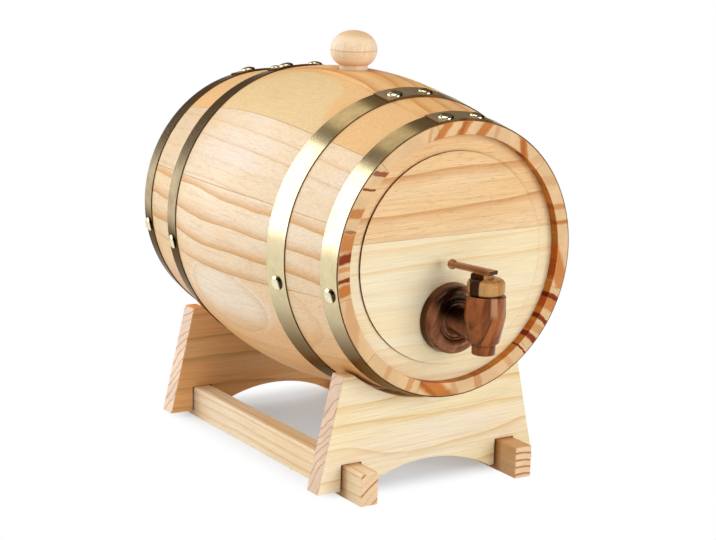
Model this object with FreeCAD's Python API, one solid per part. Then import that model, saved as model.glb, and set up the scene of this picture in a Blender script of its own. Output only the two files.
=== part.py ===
# Wooden cask liquor dispenser on a two-board cradle stand.
# Millimetres, +Z up, -Y is the front (tap) end, +X is to the right of someone facing the tap.
# The origin is the middle of the whole dispenser's footprint, on the surface it stands on.
# The cask, bung and tap are first modelled about the cask's own axis and then put in place.

import FreeCAD, Part
import math
import os

from FreeCAD import Vector

# ---------------------------------------------------------------- cask
cask_length = 228.0
chime_diameter = 154.0          # outside, at both ends
belly_diameter = 184.8          # outside, at the middle
belly_half_length = 45.6        # the rounded middle; beyond it the staves run straight
cask_axis_height = 133.8        # above the surface the stand rests on
stave_count = 12
first_joint_angle = 12.0        # where the joint between the last and the first stave lies
stave_thickness = 9.0
chime_thickness = 7.4           # the stave's end, in front of the head

# ---------------------------------------------------------------- heads
head_recess = 6.2               # from the end of the staves in to the head
head_thickness = 8.0
croze_depth = 3.0               # groove in the staves that holds the head
head_gap = 0.1                  # between the head's rim and the bottom of its groove
panel_diameter = 119.6          # raised middle of each head
panel_rise = 0.9
head_joint_height = 13.0        # joint between the two boards, above the cask's axis

# ---------------------------------------------------------------- hoops and their rivets
hoop_thickness = 0.7
chime_hoop_width = 13.4
chime_hoop_inset = 0.4          # hoop's outer edge, in from the end of the staves
quarter_hoop_width = 15.0
front_quarter_hoop_offset = 63.2    # middle of the hoop, from the middle of the cask
rear_quarter_hoop_offset = 60.0
lap_length = 36.0               # doubled part of each hoop, at the top
lap_angles = {"front_chime_hoop": 88.0, "front_quarter_hoop": 91.3}    # middle of the lap; the others stand at 90
lap_rivet_spacing = 20.4
lap_rivet_offset = -2.0         # of the row of rivets, along the cask from the hoop's middle
rivet_head_diameter = 8.8
rivet_head_height = 2.1
rivet_shank_diameter = 2.6
nail_angle = 10.0               # side nails, below the cask's axis
nail_length = 4.5               # from the stave's face in

# ---------------------------------------------------------------- bung
bung_offset = -2.0              # along the cask, from its middle
bung_hole_diameter = 17.0       # at the outside of the staves
bung_taper = 4.0                # degrees on each side
bung_clearance = 0.06
bung_plug_length = 17.0
bung_neck_length = 2.2
bung_knob_diameter = 27.6
bung_knob_height = 20.2
bung_line_depth = 0.5           # turned line round the knob

# ---------------------------------------------------------------- tap
tap_drop = 33.5                 # tap's bore below the cask's axis
tap_reach = 27.6                # tap body's axis ahead of the end of the staves
tap_bore_diameter = 6.0
rosette_diameter = 40.2         # against the head
rosette_thickness = 9.5
rosette_side_height = 4.8       # its plain side, narrowing a little to the crowned rim
rosette_crown_diameter = 38.8   # where the side meets the rim
rosette_rim_width = 8.5         # crowned outer ring, outside the turned groove
rosette_groove_depth = 3.0
rosette_bead_width = 1.4        # inside the groove; the middle is sunk from there to the shank
shank_diameter = 15.6
tail_diameter = 14.0            # where it passes through the head
tail_length = 21.0              # behind the rosette
tail_taper = 1.5                # degrees on each side
tenon_diameter = 9.0
body_top = 19.9                 # above the tap's bore
body_top_diameter = 22.0
body_waist_height = 8.2
body_waist_diameter = 22.8
body_shoulder_drop = 6.8
body_shoulder_diameter = 16.8
nozzle_length = 6.3
nozzle_diameter = 13.0
outlet_diameter = 7.0
sleeve_wall = 1.0               # cork sleeve round the key's plug
sleeve_bottom = 3.9             # below the tap's bore

# ---------------------------------------------------------------- tap key and lever
plug_top_diameter = 11.0
plug_taper = 2.0                # degrees on each side
key_clearance = 0.05
key_head_diameter = 20.8
key_head_height = 8.8
key_head_rounding = 3.2
key_head_gap = 0.3              # over the tap body
key_flat = 9.9                  # from the key's axis to the two flats that the fingers hold
key_neck_width = 9.8            # across the lever
key_neck_height = 2.5
key_neck_short = 1.8            # from the key's axis, towards the lever's short arm
key_neck_long = 7.7             # and towards its long arm
lever_angle = 104.0             # direction of the long arm when shut, from +X towards +Y
lever_thickness = 2.4
lever_long_arm = 24.4           # from the key's axis to the middle of the ball
lever_short_arm = 5.0
lever_root_width = 7.4
lever_tip_width = 3.8
lever_ball_diameter = 5.6
lever_tenon_diameter = 3.4

# ---------------------------------------------------------------- stand
cradle_thickness = 12.0
cradle_outer_span = 188.0       # over the outer faces of both cradle boards
cradle_top_width = 118.4
cradle_bottom_width = 148.6
cradle_top = 69.2
cradle_ground_gap = 3.2         # cradle boards hang this far clear of the surface
seat_gap = 0.3                  # between the cask and its seats
arch_half_width = 43.0
arch_rise = 11.0
rail_gap_between = 94.0         # clear width between the rails
rail_width = 11.3
rail_height = 18.6
rail_length = 227.0
rail_side_gap = 0.15            # in the notches of the cradle boards

# ---------------------------------------------------------------- worked-out sizes
half_length = cask_length / 2
chime_radius = chime_diameter / 2
belly_radius = belly_diameter / 2
chime_inner_radius = chime_radius - chime_thickness
croze_radius = chime_inner_radius + croze_depth
head_radius = croze_radius - head_gap
head_front = half_length - head_recess
stave_step = 360.0 / stave_count
body_radius = max(body_waist_diameter, body_top_diameter) / 2
tap_front = half_length + tap_reach + body_radius
rear_reach = max(half_length, rail_length / 2)
cask_y = (tap_front - rear_reach) / 2
tap_axis_y = -half_length - tap_reach
nozzle_bottom = -body_shoulder_drop - nozzle_length
key_seat = body_top + key_head_gap
key_head_top = key_seat + key_head_height
lever_underside = key_head_top + key_neck_height

x_axis = Vector(1, 0, 0)
y_axis = Vector(0, 1, 0)
z_axis = Vector(0, 0, 1)
origin = Vector(0, 0, 0)
eps = 1.0                       # how far cutting tools reach past what they cut


def stave_slope():
    # Angle of the straight ends, so that they meet the rounded belly without a corner.
    rise = belly_radius - chime_radius
    angle = math.atan(rise / half_length)
    for _ in range(40):
        straight_rise = rise - belly_half_length * math.tan(angle / 2)
        angle = math.atan(straight_rise / (half_length - belly_half_length))
    return angle


slope = stave_slope()
belly_curve = belly_half_length / math.sin(slope)


def cask_radius(y):
    # Outside radius of the staves at a distance y along the cask from its middle.
    if abs(y) <= belly_half_length:
        return belly_radius - belly_curve + math.sqrt(belly_curve ** 2 - y ** 2)
    return chime_radius + (half_length - abs(y)) * math.tan(slope)


def inner_radius(y):
    # Inside radius of the staves between the heads.
    inner_curve = belly_curve - stave_thickness
    if abs(y) <= inner_curve * math.sin(slope):
        return belly_radius - belly_curve + math.sqrt(inner_curve ** 2 - y ** 2)
    return cask_radius(y) - stave_thickness / math.cos(slope)


def wire_face(edges):
    return Part.Face(Part.Wire(edges))


def polygon_edges(points):
    return [Part.makeLine(points[i], points[i + 1]) for i in range(len(points) - 1)]


def polygon_face(points):
    return wire_face(polygon_edges(points + [points[0]]))


def arc(start, middle, end):
    return Part.Arc(start, middle, end).toShape()


def turned(face, angle=360.0):
    # Turns a profile of points (radius, along, 0) about the cask's Y axis, from +X up towards +Z.
    return face.revolve(origin, y_axis * -1, angle)


def upright(face):
    # Turns a profile of points (radius, 0, height) about Z.
    return face.revolve(origin, z_axis, 360.0)


def rod_y(radius, y_from, y_to, x=0.0, z=0.0):
    return Part.makeCylinder(radius, y_to - y_from, Vector(x, y_from, z), y_axis)


def rod_z(radius, z_from, z_to, x=0.0, y=0.0):
    return Part.makeCylinder(radius, z_to - z_from, Vector(x, y, z_from), z_axis)


def cone_z(radius_low, radius_high, z_from, z_to, x=0.0, y=0.0):
    return Part.makeCone(radius_low, radius_high, z_to - z_from, Vector(x, y, z_from), z_axis)


def box_between(low, high):
    return Part.makeBox(high.x - low.x, high.y - low.y, high.z - low.z, low)


def spun(shape, angle):
    # Turned about the cask's axis, from +X up towards +Z.
    copy = shape.copy()
    copy.rotate(origin, y_axis * -1, angle)
    return copy


def radial_rod(radius, r_from, r_to, y, angle):
    # A rod that points straight out from the cask's axis.
    rod = Part.makeCylinder(radius, r_to - r_from, Vector(r_from, y, 0), x_axis)
    return spun(rod, angle)


# ---------------------------------------------------------------- staves
def stave_profile():
    inner_curve = belly_curve - stave_thickness
    inner_tangent = inner_curve * math.sin(slope)
    croze_in = head_front - head_thickness
    outside = [
        Vector(chime_radius, -half_length, 0),
        Vector(cask_radius(belly_half_length), -belly_half_length, 0),
        Vector(belly_radius, 0, 0),
        Vector(cask_radius(belly_half_length), belly_half_length, 0),
        Vector(chime_radius, half_length, 0),
    ]
    rear_end = [
        Vector(chime_radius, half_length, 0),
        Vector(chime_inner_radius, half_length, 0),
        Vector(chime_inner_radius, head_front, 0),
        Vector(croze_radius, head_front, 0),
        Vector(croze_radius, croze_in, 0),
        Vector(inner_radius(croze_in), croze_in, 0),
        Vector(inner_radius(inner_tangent), inner_tangent, 0),
    ]
    front_end = [Vector(p.x, -p.y, 0) for p in reversed(rear_end)]
    inside_middle = Vector(belly_radius - stave_thickness, 0, 0)
    edges = [
        Part.makeLine(outside[0], outside[1]),
        arc(outside[1], outside[2], outside[3]),
        Part.makeLine(outside[3], outside[4]),
    ]
    edges += polygon_edges(rear_end)
    edges.append(arc(rear_end[-1], inside_middle, front_end[0]))
    edges += polygon_edges(front_end)
    return wire_face(edges)


def bung_cone(clearance, top, bottom):
    # Tapered about a line through the cask's axis; it has the hole's size at the staves' outside.
    spread = math.tan(math.radians(bung_taper))
    mouth = bung_hole_diameter / 2 - clearance
    level = cask_radius(bung_offset)
    low = mouth - (level - bottom) * spread
    high = mouth + (top - level) * spread
    return cone_z(low, high, bottom, top, y=bung_offset)


def hoop_places():
    # Name, middle and width of each hoop, from the front.
    chime_middle = half_length - chime_hoop_inset - chime_hoop_width / 2
    return [
        ("front_chime_hoop", -chime_middle, chime_hoop_width),
        ("front_quarter_hoop", -front_quarter_hoop_offset, quarter_hoop_width),
        ("rear_quarter_hoop", rear_quarter_hoop_offset, quarter_hoop_width),
        ("rear_chime_hoop", chime_middle, chime_hoop_width),
    ]


def lap_angle(name):
    return lap_angles.get(name, 90.0)


def lap_rivet_angles(name, y):
    half = math.degrees(lap_rivet_spacing / 2 / cask_radius(y))
    return [lap_angle(name) - half, lap_angle(name) + half]


def nail_angles():
    return [180.0 + nail_angle, 360.0 - nail_angle]


def nail_hole(y, angle):
    radius = cask_radius(y)
    return radial_rod(rivet_shank_diameter / 2, radius - nail_length, radius + hoop_thickness + eps, y, angle)


def make_staves():
    blank = turned(stave_profile(), stave_step)
    nail_holes = [nail_hole(y, angle) for _, y, _ in hoop_places() for angle in nail_angles()]
    bung_hole = bung_cone(0.0, belly_radius + eps, belly_radius - 2 * stave_thickness)
    staves = {}
    for i in range(stave_count):
        stave = spun(blank, first_joint_angle + i * stave_step)
        holes = [h for h in nail_holes + [bung_hole] if stave.common(h).Volume > 0]
        staves["stave_%02d" % (i + 1)] = stave.cut(holes) if holes else stave
    return staves


# ---------------------------------------------------------------- heads
def head_disc():
    panel_radius = panel_diameter / 2
    points = [
        Vector(0, -head_front - panel_rise, 0),
        Vector(panel_radius, -head_front - panel_rise, 0),
        Vector(panel_radius, -head_front, 0),
        Vector(head_radius, -head_front, 0),
        Vector(head_radius, -head_front + head_thickness, 0),
        Vector(0, -head_front + head_thickness, 0),
    ]
    return turned(polygon_face(points))


def tail_cone(y_from, y_to):
    # The tap's tail, tapering from the head's outer face into the cask.
    fall = math.tan(math.radians(tail_taper))
    face_y = -head_front - panel_rise
    wide = tail_diameter / 2 - (y_from - face_y) * fall
    narrow = tail_diameter / 2 - (y_to - face_y) * fall
    return Part.makeCone(wide, narrow, y_to - y_from, Vector(0, y_from, -tap_drop), y_axis)


def make_heads():
    front = head_disc()
    rear = head_disc()
    rear.rotate(origin, z_axis, 180.0)
    reach = half_length + eps
    wide = head_radius + eps
    upper = box_between(Vector(-wide, -reach, head_joint_height), Vector(wide, reach, wide))
    lower = box_between(Vector(-wide, -reach, -wide), Vector(wide, reach, head_joint_height))
    tap_hole = tail_cone(-half_length, -head_front + head_thickness + eps)
    return {
        "front_head_upper_board": front.common(upper),
        "front_head_lower_board": front.common(lower).cut(tap_hole),
        "rear_head_upper_board": rear.common(upper),
        "rear_head_lower_board": rear.common(lower),
    }


# ---------------------------------------------------------------- hoops
def band(y, width, lift, angle=360.0):
    # A hoop's strip lying on the staves' straight slope, lifted off them by so much.
    front_y = y - width / 2
    rear_y = y + width / 2
    inside = [Vector(cask_radius(front_y) + lift, front_y, 0), Vector(cask_radius(rear_y) + lift, rear_y, 0)]
    out = Vector(hoop_thickness, 0, 0)
    return turned(polygon_face([inside[0], inside[1], inside[1] + out, inside[0] + out]), angle)


def make_hoops():
    hoops = {}
    for name, y, width in hoop_places():
        lap_spread = math.degrees(lap_length / cask_radius(y))
        lap = spun(band(y, width, hoop_thickness, lap_spread), lap_angle(name) - lap_spread / 2)
        row = y + lap_rivet_offset
        seat = cask_radius(row) + 2 * hoop_thickness
        holes = [
            radial_rod(rivet_shank_diameter / 2, cask_radius(row) - eps, seat + eps, row, angle)
            for angle in lap_rivet_angles(name, row)
        ]
        holes += [nail_hole(y, angle) for angle in nail_angles()]
        hoops[name] = band(y, width, 0.0).fuse(lap).cut(holes).removeSplitter()
    return hoops


def domed_head(seat_radius, y, angle):
    # A flattened dome that lies flat on the hoop's slope.
    rim = rivet_head_diameter / 2
    ball = (rim ** 2 + rivet_head_height ** 2) / (2 * rivet_head_height)
    centre = seat_radius + rivet_head_height - ball
    dome = Part.makeSphere(ball, Vector(centre, y, 0))
    size = 2 * rivet_head_diameter
    keep = box_between(Vector(seat_radius, y - size, -size), Vector(seat_radius + size, y + size, size))
    dome = dome.common(keep)
    dome.rotate(Vector(seat_radius, y, 0), z_axis, math.copysign(math.degrees(slope), y))
    return spun(dome, angle)


def headed_pin(y, angle, bottom, seat):
    shank = radial_rod(rivet_shank_diameter / 2, bottom, seat + rivet_head_height / 2, y, angle)
    return domed_head(seat, y, angle).fuse(shank).removeSplitter()


def make_lap_rivets():
    # The tails end inside the lower layer, clear of the sloping stave under it.
    rivets = []
    tail = rivet_shank_diameter / 2 * math.tan(slope)
    for name, y, _ in hoop_places():
        row = y + lap_rivet_offset
        radius = cask_radius(row)
        seat = radius + 2 * hoop_thickness
        rivets += [headed_pin(row, angle, radius + tail, seat) for angle in lap_rivet_angles(name, row)]
    return Part.makeCompound(rivets)


def make_side_nails():
    nails = []
    for _, y, _ in hoop_places():
        radius = cask_radius(y)
        seat = radius + hoop_thickness
        nails += [headed_pin(y, angle, radius - nail_length, seat) for angle in nail_angles()]
    return Part.makeCompound(nails)


# ---------------------------------------------------------------- bung
def make_bung():
    knob_radius = bung_knob_diameter / 2
    neck_radius = bung_hole_diameter / 2
    neck_bottom = cask_radius(bung_offset)
    knob_bottom = neck_bottom + bung_neck_length
    knob_top = knob_bottom + bung_knob_height
    middle = (knob_bottom + knob_top) / 2
    # The knob's side is one arc from the neck to the equator and one on to the flat of the crown.
    crown = knob_radius / 4
    low = Vector(neck_radius, 0, knob_bottom)
    equator_low = Vector(knob_radius, 0, middle - bung_line_depth)
    groove = Vector(knob_radius - bung_line_depth, 0, middle)
    equator_high = Vector(knob_radius, 0, middle + bung_line_depth)
    top = Vector(crown, 0, knob_top)

    def swell(start, end, corner_share):
        # Middle point of an arc that bulges towards the corner of the box round the knob.
        corner = Vector(max(start.x, end.x), 0, start.z if start.x < end.x else end.z)
        chord_middle = (start + end) * 0.5
        return chord_middle + (corner - chord_middle) * corner_share

    edges = [
        Part.makeLine(Vector(0, 0, knob_bottom), low),
        arc(low, swell(low, equator_low, 0.45), equator_low),
        Part.makeLine(equator_low, groove),
        Part.makeLine(groove, equator_high),
        arc(equator_high, swell(equator_high, top, 0.43), top),
        Part.makeLine(top, Vector(0, 0, knob_top)),
        Part.makeLine(Vector(0, 0, knob_top), Vector(0, 0, knob_bottom)),
    ]
    knob = upright(wire_face(edges))
    knob.translate(Vector(0, bung_offset, 0))
    plug = bung_cone(bung_clearance, knob_bottom, neck_bottom - bung_plug_length)
    return knob.fuse(plug).removeSplitter()


# ---------------------------------------------------------------- tap
def at_tap(shape):
    # From the tap's own frame (key axis upright, bore at height 0) into the cask's frame.
    shape.translate(Vector(0, tap_axis_y, -tap_drop))
    return shape


def tap_body_outside():
    points = [
        Vector(0, 0, nozzle_bottom),
        Vector(nozzle_diameter / 2, 0, nozzle_bottom),
        Vector(nozzle_diameter / 2, 0, -body_shoulder_drop),
        Vector(body_shoulder_diameter / 2, 0, -body_shoulder_drop),
        Vector(body_waist_diameter / 2, 0, body_waist_height),
        Vector(body_top_diameter / 2, 0, body_top),
        Vector(0, 0, body_top),
    ]
    return upright(polygon_face(points))


def plug_radius(z):
    return plug_top_diameter / 2 - (body_top - z) * math.tan(math.radians(plug_taper))


def plug_cone(grow, z_from, z_to):
    return cone_z(plug_radius(z_from) + grow, plug_radius(z_to) + grow, z_from, z_to)


def tap_tenon():
    # The shank's reduced end; it stops at the cork sleeve and stays clear of the outlet below.
    stop = plug_cone(key_clearance + sleeve_wall, -tenon_diameter, body_top)
    return rod_y(tenon_diameter / 2, 0, body_radius + eps).cut(stop)


def make_tap_body():
    socket = plug_cone(key_clearance + sleeve_wall, -sleeve_bottom, body_top)
    outlet = rod_z(outlet_diameter / 2, nozzle_bottom - eps, -sleeve_bottom + eps)
    return at_tap(tap_body_outside().cut([socket, outlet, tap_tenon()]))


def make_tap_sleeve():
    outside = plug_cone(key_clearance + sleeve_wall, -sleeve_bottom, body_top)
    inside = plug_cone(key_clearance, -sleeve_bottom, body_top)
    window = rod_y(tap_bore_diameter / 2, 0, body_radius)
    return at_tap(outside.cut([inside, window]))


def make_tap_shank():
    # Rosette, barrel and tail, turned from one piece about the tap's bore.
    head_y = tap_reach + head_recess - panel_rise
    face_y = head_y - rosette_thickness
    edge = rosette_diameter / 2
    crown = rosette_crown_diameter / 2
    groove = edge - rosette_rim_width
    bead = groove - rosette_bead_width
    shank_radius = shank_diameter / 2
    rim_out = Vector(crown, head_y - rosette_side_height, 0)
    rim_in = Vector(groove + 0.4, face_y + 1.6, 0)
    bead_in = Vector(bead, face_y + 2.5, 0)
    sunk_in = Vector(shank_radius, face_y + 1.2, 0)
    edges = polygon_edges([Vector(0, head_y, 0), Vector(edge, head_y, 0), rim_out])
    edges.append(arc(rim_out, Vector((crown + groove) / 2 - 0.2, face_y, 0), rim_in))
    edges += polygon_edges([
        rim_in,
        Vector(groove, face_y + rosette_groove_depth, 0),
        Vector(groove - 0.4, face_y + 2.2, 0),
        bead_in,
    ])
    edges.append(arc(bead_in, (bead_in + sunk_in) * 0.5 + Vector(0, 1.2, 0), sunk_in))
    edges += polygon_edges([sunk_in, Vector(shank_radius, 0, 0), Vector(0, 0, 0), Vector(0, head_y, 0)])
    shank = turned(wire_face(edges)).cut(tap_body_outside())
    shank = at_tap(shank.fuse(tap_tenon()))
    tail_start = -head_front - panel_rise
    tail = tail_cone(tail_start, tail_start + tail_length)
    bore = rod_y(tap_bore_diameter / 2, tap_axis_y, tail_start + tail_length + eps, z=-tap_drop)
    return shank.fuse(tail).cut(bore).removeSplitter()


def make_tap_key():
    # Plug, head and neck in one, drawn with the lever along +X; the port at one side meets the upright bore.
    head_radius_out = key_head_diameter / 2
    round_start = key_head_top - key_head_rounding
    round_in = head_radius_out - key_head_rounding
    bend = key_head_rounding * math.sqrt(0.5)
    edges = [
        Part.makeLine(Vector(0, 0, key_seat), Vector(head_radius_out, 0, key_seat)),
        Part.makeLine(Vector(head_radius_out, 0, key_seat), Vector(head_radius_out, 0, round_start)),
        arc(
            Vector(head_radius_out, 0, round_start),
            Vector(round_in + bend, 0, round_start + bend),
            Vector(round_in, 0, key_head_top),
        ),
        Part.makeLine(Vector(round_in, 0, key_head_top), Vector(0, 0, key_head_top)),
        Part.makeLine(Vector(0, 0, key_head_top), Vector(0, 0, key_seat)),
    ]
    head = upright(wire_face(edges))
    neck = box_between(
        Vector(-key_neck_short, -key_neck_width / 2, round_start),
        Vector(key_neck_long, key_neck_width / 2, lever_underside),
    )
    flats = [
        box_between(
            Vector(-head_radius_out, low, key_seat - eps),
            Vector(head_radius_out, low + head_radius_out, lever_underside + eps),
        )
        for low in (key_flat, -key_flat - head_radius_out)
    ]
    grip = head.fuse(neck).cut(flats)
    grip.rotate(origin, z_axis, lever_angle)
    plug = plug_cone(0.0, -sleeve_bottom, key_seat)
    tenon = rod_z(lever_tenon_diameter / 2, lever_underside, lever_underside + lever_thickness)
    down_bore = rod_z(tap_bore_diameter / 2, -sleeve_bottom - eps, 0)
    side_port = Part.makeCylinder(tap_bore_diameter / 2, body_radius, origin, x_axis)
    bore_end = Part.makeSphere(tap_bore_diameter / 2)
    key = grip.fuse([plug, tenon]).cut([down_bore, side_port, bore_end])
    return at_tap(key.removeSplitter())


def make_tap_lever():
    # Long arm with a ball at its tip along +X, then turned to the way the shut tap points.
    root = lever_root_width / 2
    tip = lever_tip_width / 2
    end = -lever_short_arm
    points = [
        Vector(end, -root, lever_underside),
        Vector(0, -root, lever_underside),
        Vector(lever_long_arm, -tip, lever_underside),
        Vector(lever_long_arm, tip, lever_underside),
        Vector(0, root, lever_underside),
        Vector(end, root, lever_underside),
    ]
    bar = polygon_face(points).extrude(Vector(0, 0, lever_thickness))
    ball = Part.makeSphere(lever_ball_diameter / 2, Vector(lever_long_arm, 0, lever_underside + lever_thickness / 2))
    hole = rod_z(lever_tenon_diameter / 2, lever_underside - eps, lever_underside + lever_thickness + eps)
    lever = bar.fuse(ball).cut(hole).removeSplitter()
    lever.rotate(origin, z_axis, lever_angle)
    return at_tap(lever)


# ---------------------------------------------------------------- stand
def rail_box(side, grow=0.0):
    # side is -1 for the left rail and 1 for the right one; grow widens it to its notch.
    inner = rail_gap_between / 2 - grow
    outer = rail_gap_between / 2 + rail_width + grow
    low_x = min(side * inner, side * outer)
    high_x = max(side * inner, side * outer)
    return box_between(Vector(low_x, -rail_length / 2, 0), Vector(high_x, rail_length / 2, rail_height))


def make_cradle(outer_y, inner_y):
    # A sloping-sided board, hollowed on top for the cask and arched underneath.
    top = cradle_top_width / 2
    bottom = cradle_bottom_width / 2
    front_y = min(outer_y, inner_y)
    board = polygon_face([
        Vector(-bottom, front_y, cradle_ground_gap),
        Vector(bottom, front_y, cradle_ground_gap),
        Vector(top, front_y, cradle_top),
        Vector(-top, front_y, cradle_top),
    ]).extrude(Vector(0, cradle_thickness, 0))
    seat_radius = cask_radius(inner_y) + seat_gap
    seat = rod_y(seat_radius, front_y - eps, front_y + cradle_thickness + eps, z=cask_axis_height)
    arch_radius = (arch_half_width ** 2 + arch_rise ** 2) / (2 * arch_rise)
    arch_z = cradle_ground_gap + arch_rise - arch_radius
    arch = rod_y(arch_radius, front_y - eps, front_y + cradle_thickness + eps, z=arch_z)
    notches = [rail_box(-1, rail_side_gap), rail_box(1, rail_side_gap)]
    return board.cut([seat, arch] + notches)


def make_stand():
    outer = cradle_outer_span / 2
    inner = outer - cradle_thickness
    return {
        "front_cradle": make_cradle(-outer, -inner),
        "rear_cradle": make_cradle(outer, inner),
        "left_rail": rail_box(-1),
        "right_rail": rail_box(1),
    }


# ---------------------------------------------------------------- build and write
cask_parts = {}
cask_parts.update(make_staves())
cask_parts.update(make_heads())
cask_parts.update(make_hoops())
cask_parts["hoop_lap_rivets"] = make_lap_rivets()
cask_parts["hoop_side_nails"] = make_side_nails()
cask_parts["bung"] = make_bung()
cask_parts["tap_shank"] = make_tap_shank()
cask_parts["tap_body"] = make_tap_body()
cask_parts["tap_cork_sleeve"] = make_tap_sleeve()
cask_parts["tap_key"] = make_tap_key()
cask_parts["tap_lever"] = make_tap_lever()
stand_parts = make_stand()

cask_place = Vector(0, cask_y, cask_axis_height)
stand_place = Vector(0, cask_y, 0)

os.makedirs("parts", exist_ok=True)
for parts, place in ((cask_parts, cask_place), (stand_parts, stand_place)):
    for name, shape in parts.items():
        shape.translate(place)
        shape.exportStep("parts/%s.step" % name)
        print("%-26s solids %d  volume %9.1f  valid %s" % (name, len(shape.Solids), shape.Volume, shape.isValid()))

print("cask middle y %.3f  tap axis y %.3f  outlet z %.3f" % (
    cask_y, cask_y + tap_axis_y, cask_axis_height - tap_drop + nozzle_bottom))
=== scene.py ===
# Cask liquor dispenser on its cradle stand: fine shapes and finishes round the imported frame.
import bpy
import math
from mathutils import Matrix, Vector


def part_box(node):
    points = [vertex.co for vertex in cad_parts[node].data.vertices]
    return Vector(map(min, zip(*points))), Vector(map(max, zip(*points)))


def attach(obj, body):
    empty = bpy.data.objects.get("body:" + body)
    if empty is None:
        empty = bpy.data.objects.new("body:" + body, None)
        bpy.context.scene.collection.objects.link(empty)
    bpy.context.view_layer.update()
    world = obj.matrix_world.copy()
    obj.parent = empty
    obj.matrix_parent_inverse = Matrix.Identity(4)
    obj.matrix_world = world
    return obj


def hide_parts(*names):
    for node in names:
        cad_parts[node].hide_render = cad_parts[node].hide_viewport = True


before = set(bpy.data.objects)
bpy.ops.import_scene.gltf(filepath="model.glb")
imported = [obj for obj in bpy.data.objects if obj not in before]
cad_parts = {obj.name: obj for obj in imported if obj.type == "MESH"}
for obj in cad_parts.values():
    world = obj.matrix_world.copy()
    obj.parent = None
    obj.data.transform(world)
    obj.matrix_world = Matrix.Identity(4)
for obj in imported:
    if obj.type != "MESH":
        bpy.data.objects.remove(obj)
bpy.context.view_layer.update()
scene = bpy.context.scene
mm = 0.001
right = Vector((1, 0, 0))
along = Vector((0, 1, 0))       # the cask's length; the tap is at the -Y end
up = Vector((0, 0, 1))
print("frame loaded, %d nodes" % len(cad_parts))


# Helpers for shader nodes: a value is a number, a vector, a colour or another node's output.

def feed(tree, socket, value):
    if isinstance(value, bpy.types.NodeSocket):
        tree.links.new(value, socket)
    else:
        socket.default_value = value


def feedAll(tree, node, values):
    # values go by the names or numbers of the node's sockets
    for key, value in values.items():
        feed(tree, node.inputs[key], value)
    return node


def addNode(tree, kind, values):
    return feedAll(tree, tree.nodes.new(kind), values)


def calc(tree, operation, first, second=0.0, clamp=False):
    node = addNode(tree, "ShaderNodeMath", {0: first, 1: second})
    node.operation = operation
    node.use_clamp = clamp
    return node.outputs[0]


def plus(tree, first, second, clamp=False):
    return calc(tree, "ADD", first, second, clamp)


def minus(tree, first, second):
    return calc(tree, "SUBTRACT", first, second)


def times(tree, first, second, clamp=False):
    return calc(tree, "MULTIPLY", first, second, clamp)


def vectorCalc(tree, operation, first, second=(0, 0, 0), result="Vector"):
    node = addNode(tree, "ShaderNodeVectorMath", {0: first, 1: second})
    node.operation = operation
    return node.outputs[result]


def measure(tree, operation, first, second=(0, 0, 0)):
    # a length, a distance or a dot product: the result is a number
    return vectorCalc(tree, operation, first, second, "Value")


def between(tree, value, low, high, toLow=0.0, toHigh=1.0):
    # a soft step: toLow up to low, toHigh from high on
    node = addNode(tree, "ShaderNodeMapRange", {
        "Value": value, "From Min": low, "From Max": high, "To Min": toLow, "To Max": toHigh})
    node.interpolation_type = "SMOOTHSTEP"
    return node.outputs[0]


def blendColour(tree, share, first, second, kind="MIX"):
    node = tree.nodes.new("ShaderNodeMix")
    node.data_type = "RGBA"
    node.blend_type = kind
    feedAll(tree, node, {0: share, 6: first, 7: second})    # 6 and 7 are the two colours
    return node.outputs[2]


def greyLevel(tree, value):
    return addNode(tree, "ShaderNodeCombineColor", {0: value, 1: value, 2: value}).outputs[0]


def stretch(tree, vector, scale, shift=(0, 0, 0)):
    node = addNode(tree, "ShaderNodeMapping", {"Vector": vector, "Location": shift, "Scale": scale})
    return node.outputs[0]


def noise(tree, vector, scale, detail=2.0, rough=0.5, result="Fac"):
    node = addNode(tree, "ShaderNodeTexNoise", {
        "Vector": stretch(tree, vector, scale), "Scale": 1.0, "Detail": detail, "Roughness": rough})
    return node.outputs[result]


def objectPlace(tree):
    return tree.nodes.new("ShaderNodeTexCoord").outputs["Object"]


def alongWay(tree, way):
    # how far a spot lies along a direction
    return measure(tree, "DOT_PRODUCT", objectPlace(tree), way)


def addBump(tree, shader, height, strength, depth):
    bump = addNode(tree, "ShaderNodeBump", {"Strength": strength, "Distance": depth, "Height": height})
    feed(tree, shader.inputs["Normal"], bump.outputs[0])


def newMaterial(name):
    material = bpy.data.materials.new(name)
    material.use_nodes = True
    return material


def shaderOf(material):
    return material.node_tree.nodes["Principled BSDF"]


# Bench: the few moves that every piece is made with.

def deselectAll():
    if bpy.context.mode != "OBJECT":
        bpy.ops.object.mode_set(mode="OBJECT")
    bpy.ops.object.select_all(action="DESELECT")


def pick(piece):
    deselectAll()
    piece.select_set(True)
    bpy.context.view_layer.objects.active = piece


def editAll(piece):
    pick(piece)
    bpy.ops.object.mode_set(mode="EDIT")
    bpy.ops.mesh.select_mode(type="VERT")
    bpy.ops.mesh.select_all(action="SELECT")


def nameNew(name):
    piece = bpy.context.object
    piece.name = piece.data.name = name
    return piece


def settle(piece):
    # its place goes into the mesh
    pick(piece)
    bpy.ops.object.transform_apply(location=True, rotation=True, scale=True)


def block(name, size, centre):
    deselectAll()
    bpy.ops.mesh.primitive_cube_add(size=1, location=centre)
    piece = nameNew(name)
    piece.scale = size
    settle(piece)
    return piece


def rod(name, radius, length, centre, vertices):
    # it lies along the cask
    deselectAll()
    bpy.ops.mesh.primitive_cylinder_add(
        vertices=vertices, radius=radius, depth=length, location=centre, rotation=(math.pi / 2, 0, 0))
    return nameNew(name)


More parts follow.
